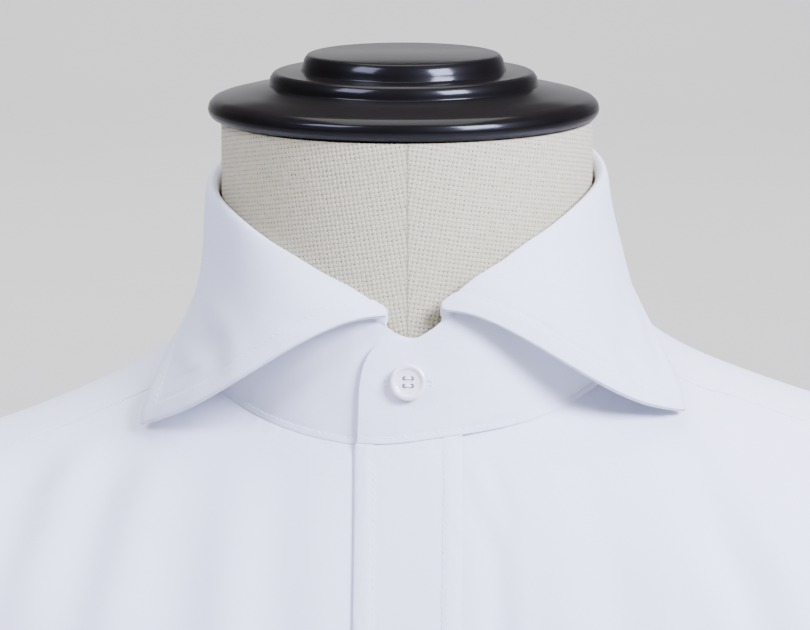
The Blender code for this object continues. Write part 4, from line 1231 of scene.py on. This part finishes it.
button_rings = [(radius * MM, height * MM) for radius, height in BUTTON_RINGS]
one_button = turn_piece("one_button", button_rings, 0.0, BUTTON_STEPS, BUTTON_EDGE)
for right in (1, -1):
    for up in (1, -1):
        spot = (right * HOLE_PLACE, up * HOLE_PLACE, 0.0)
        bpy.ops.mesh.primitive_cylinder_add(
            vertices=HOLE_STEPS, radius=HOLE_RADIUS, depth=4 * BUTTON_TALL, location=spot
        )
        drill = bpy.context.object
        add_modifier(one_button, "BOOLEAN", operation="DIFFERENCE", object=drill, solver="EXACT")
        bpy.data.objects.remove(drill)
one_button.data.materials.append(shell)
print("button faces:", len(one_button.data.polygons))


# %% Sew on the buttons
HOLE_LONG, HOLE_HALF_WIDTH, BAR_HALF_WIDTH, HOLE_STEP = 0.0145, 0.0007, 0.0012, 0.0004
THREAD_HEIGHT = 0.0008


def button_frame(node):
    """The middle, the facing way and the upright way of a packed button."""
    places = points_of(nodes[node])
    middle = places.mean(axis=0)
    facing = np.linalg.svd(places - middle)[2][2]
    out = middle * [1.0, 1.0, 0.0]
    if "cuff" in node:
        out = out - [np.sign(middle[0]) * ARM_X, 0.0, 0.0]
    facing = facing * np.sign(facing @ out)
    upright = np.array([0.0, 0.0, 1.0]) - facing * facing[2]
    return middle, facing, upright / np.linalg.norm(upright)


def place_copy(model, name, middle, facing, upright):
    """A copy with a mesh of its own, turned so that its top faces the given way."""
    copy = bpy.data.objects.new(name, model.data.copy())
    bpy.context.scene.collection.objects.link(copy)
    rename(copy, name)
    turn = np.stack([np.cross(upright, facing), upright, facing])
    put_points(copy, points_of(copy) @ turn + middle - facing * BUTTON_TALL / 2)
    only(copy)
    bpy.ops.object.shade_smooth_by_angle(angle=SMOOTH_BELOW)
    return copy


def buttonhole(name, tree, middle, way):
    """Two rows of close stitches across a slit, and a bar at each end."""
    spots, ways, facings = [], [], []
    _, normal, _, _ = tree.find_nearest(Vector(middle))
    over = np.cross(np.array(normal), way)
    end = HOLE_LONG / 2
    bar = np.arange(-BAR_HALF_WIDTH, BAR_HALF_WIDTH + HOLE_STEP / 2, HOLE_STEP)
    marks = [
        (at, across, over)
        for at in np.arange(-end, end, HOLE_STEP) for across in (HOLE_HALF_WIDTH, -HOLE_HALF_WIDTH)
    ]
    marks += [(at, across, way) for at in (-end, end) for across in bar]
    for at, across, lie in marks:
        spot, face_way, _, _ = tree.find_nearest(Vector(middle + way * at + over * across))
        spots.append(np.array(spot))
        ways.append(lie)
        facings.append(np.array(face_way))
    return stitch_mesh(name, np.array(spots), np.array(ways), np.array(facings), 0.6, 1.1)


SEWN_ON = {
    "button_collar": "collar_stand", "button_cuff_left": "cuff_left", "button_cuff_right": "cuff_right"
}
shell_pieces = {}
for node in nodes:
    if not node.startswith("button"):
        continue
    middle, facing, upright = button_frame(node)
    made = place_copy(one_button, f"{node}_shell", middle, facing, upright)
    sideways = np.cross(upright, facing)
    spots = np.array([middle + facing * THREAD_HEIGHT + upright * HOLE_PLACE * k for k in (1, -1)])
    bars = stitch_mesh(
        f"{node}_thread", spots, np.array([sideways, sideways]), np.array([facing, facing]), 1.7, 2.2
    )
    under = SEWN_ON.get(node, "placket")
    way = upright if under == "placket" else sideways
    slit = buttonhole(f"{node}_buttonhole", trees[under], middle, way)
    sewing[under].append(slit)
    shell_pieces[node] = (made, bars)
bpy.data.objects.remove(one_button)
print("buttons:", len(shell_pieces))

# %% [markdown]
# Each panel is a sheet. A worn shirt isn't stretched, so a panel's flat area is that of its own
# cloth. Its width and length are the rough size of its cut for a medium shirt, and the limp sleeves
# are some 80 mm narrower than theirs. What is measured here is both faces of the wall, halved.

# %% Hide the packed parts, attach the pieces and print their areas
CUTS = {
    # node: flat width, flat length, flat area, held, rests on
    "collar_leaf": (0.470, 0.085, 0.0240, "folded", ["collar_stand_cloth"]),
    "collar_stand": (0.470, 0.046, 0.0195, "folded", ["torso_linen"]),
    "front_left": (0.240, 0.725, 0.1580, "hung", ["torso_linen"]),
    "front_right": (0.255, 0.720, 0.1710, "hung", ["torso_linen"]),
    "placket": (0.035, 0.705, 0.0245, "hung", ["front_right_cloth"]),
    "yoke": (0.460, 0.150, 0.0535, "draped", ["torso_linen"]),
    "back": (0.490, 0.670, 0.2920, "hung", ["torso_linen"]),
    "sleeve_left": (0.430, 0.550, 0.1620, "hung", ["torso_linen"]),
    "sleeve_right": (0.430, 0.550, 0.1600, "hung", ["torso_linen"]),
    "cuff_left": (0.225, 0.064, 0.0144, "folded", ["sleeve_left_cloth"]),
    "cuff_right": (0.225, 0.064, 0.0144, "folded", ["sleeve_right_cloth"]),
}


def one_face_area(piece):
    return sum(face.area for face in piece.data.polygons) / 2


for node, piece in pieces.items():
    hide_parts(node)
    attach(piece, "root")
    for sewn in sewing[node]:
        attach(sewn, "root")
    if node in CUTS:
        width, length, area, held, rests_on = CUTS[node]
        print(node, "measured", round(one_face_area(piece), 4), "flat", area)
for node, (made, bars) in shell_pieces.items():
    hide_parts(node)
    for one in (made, bars):
        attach(one, "root")

# %% Print how far the pieces reach past the imported box
low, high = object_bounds()
grown = [list(cad_low - low), list(high - cad_high)]
print("grown in mm:", [[round(one / MM, 1) for one in end] for end in grown])
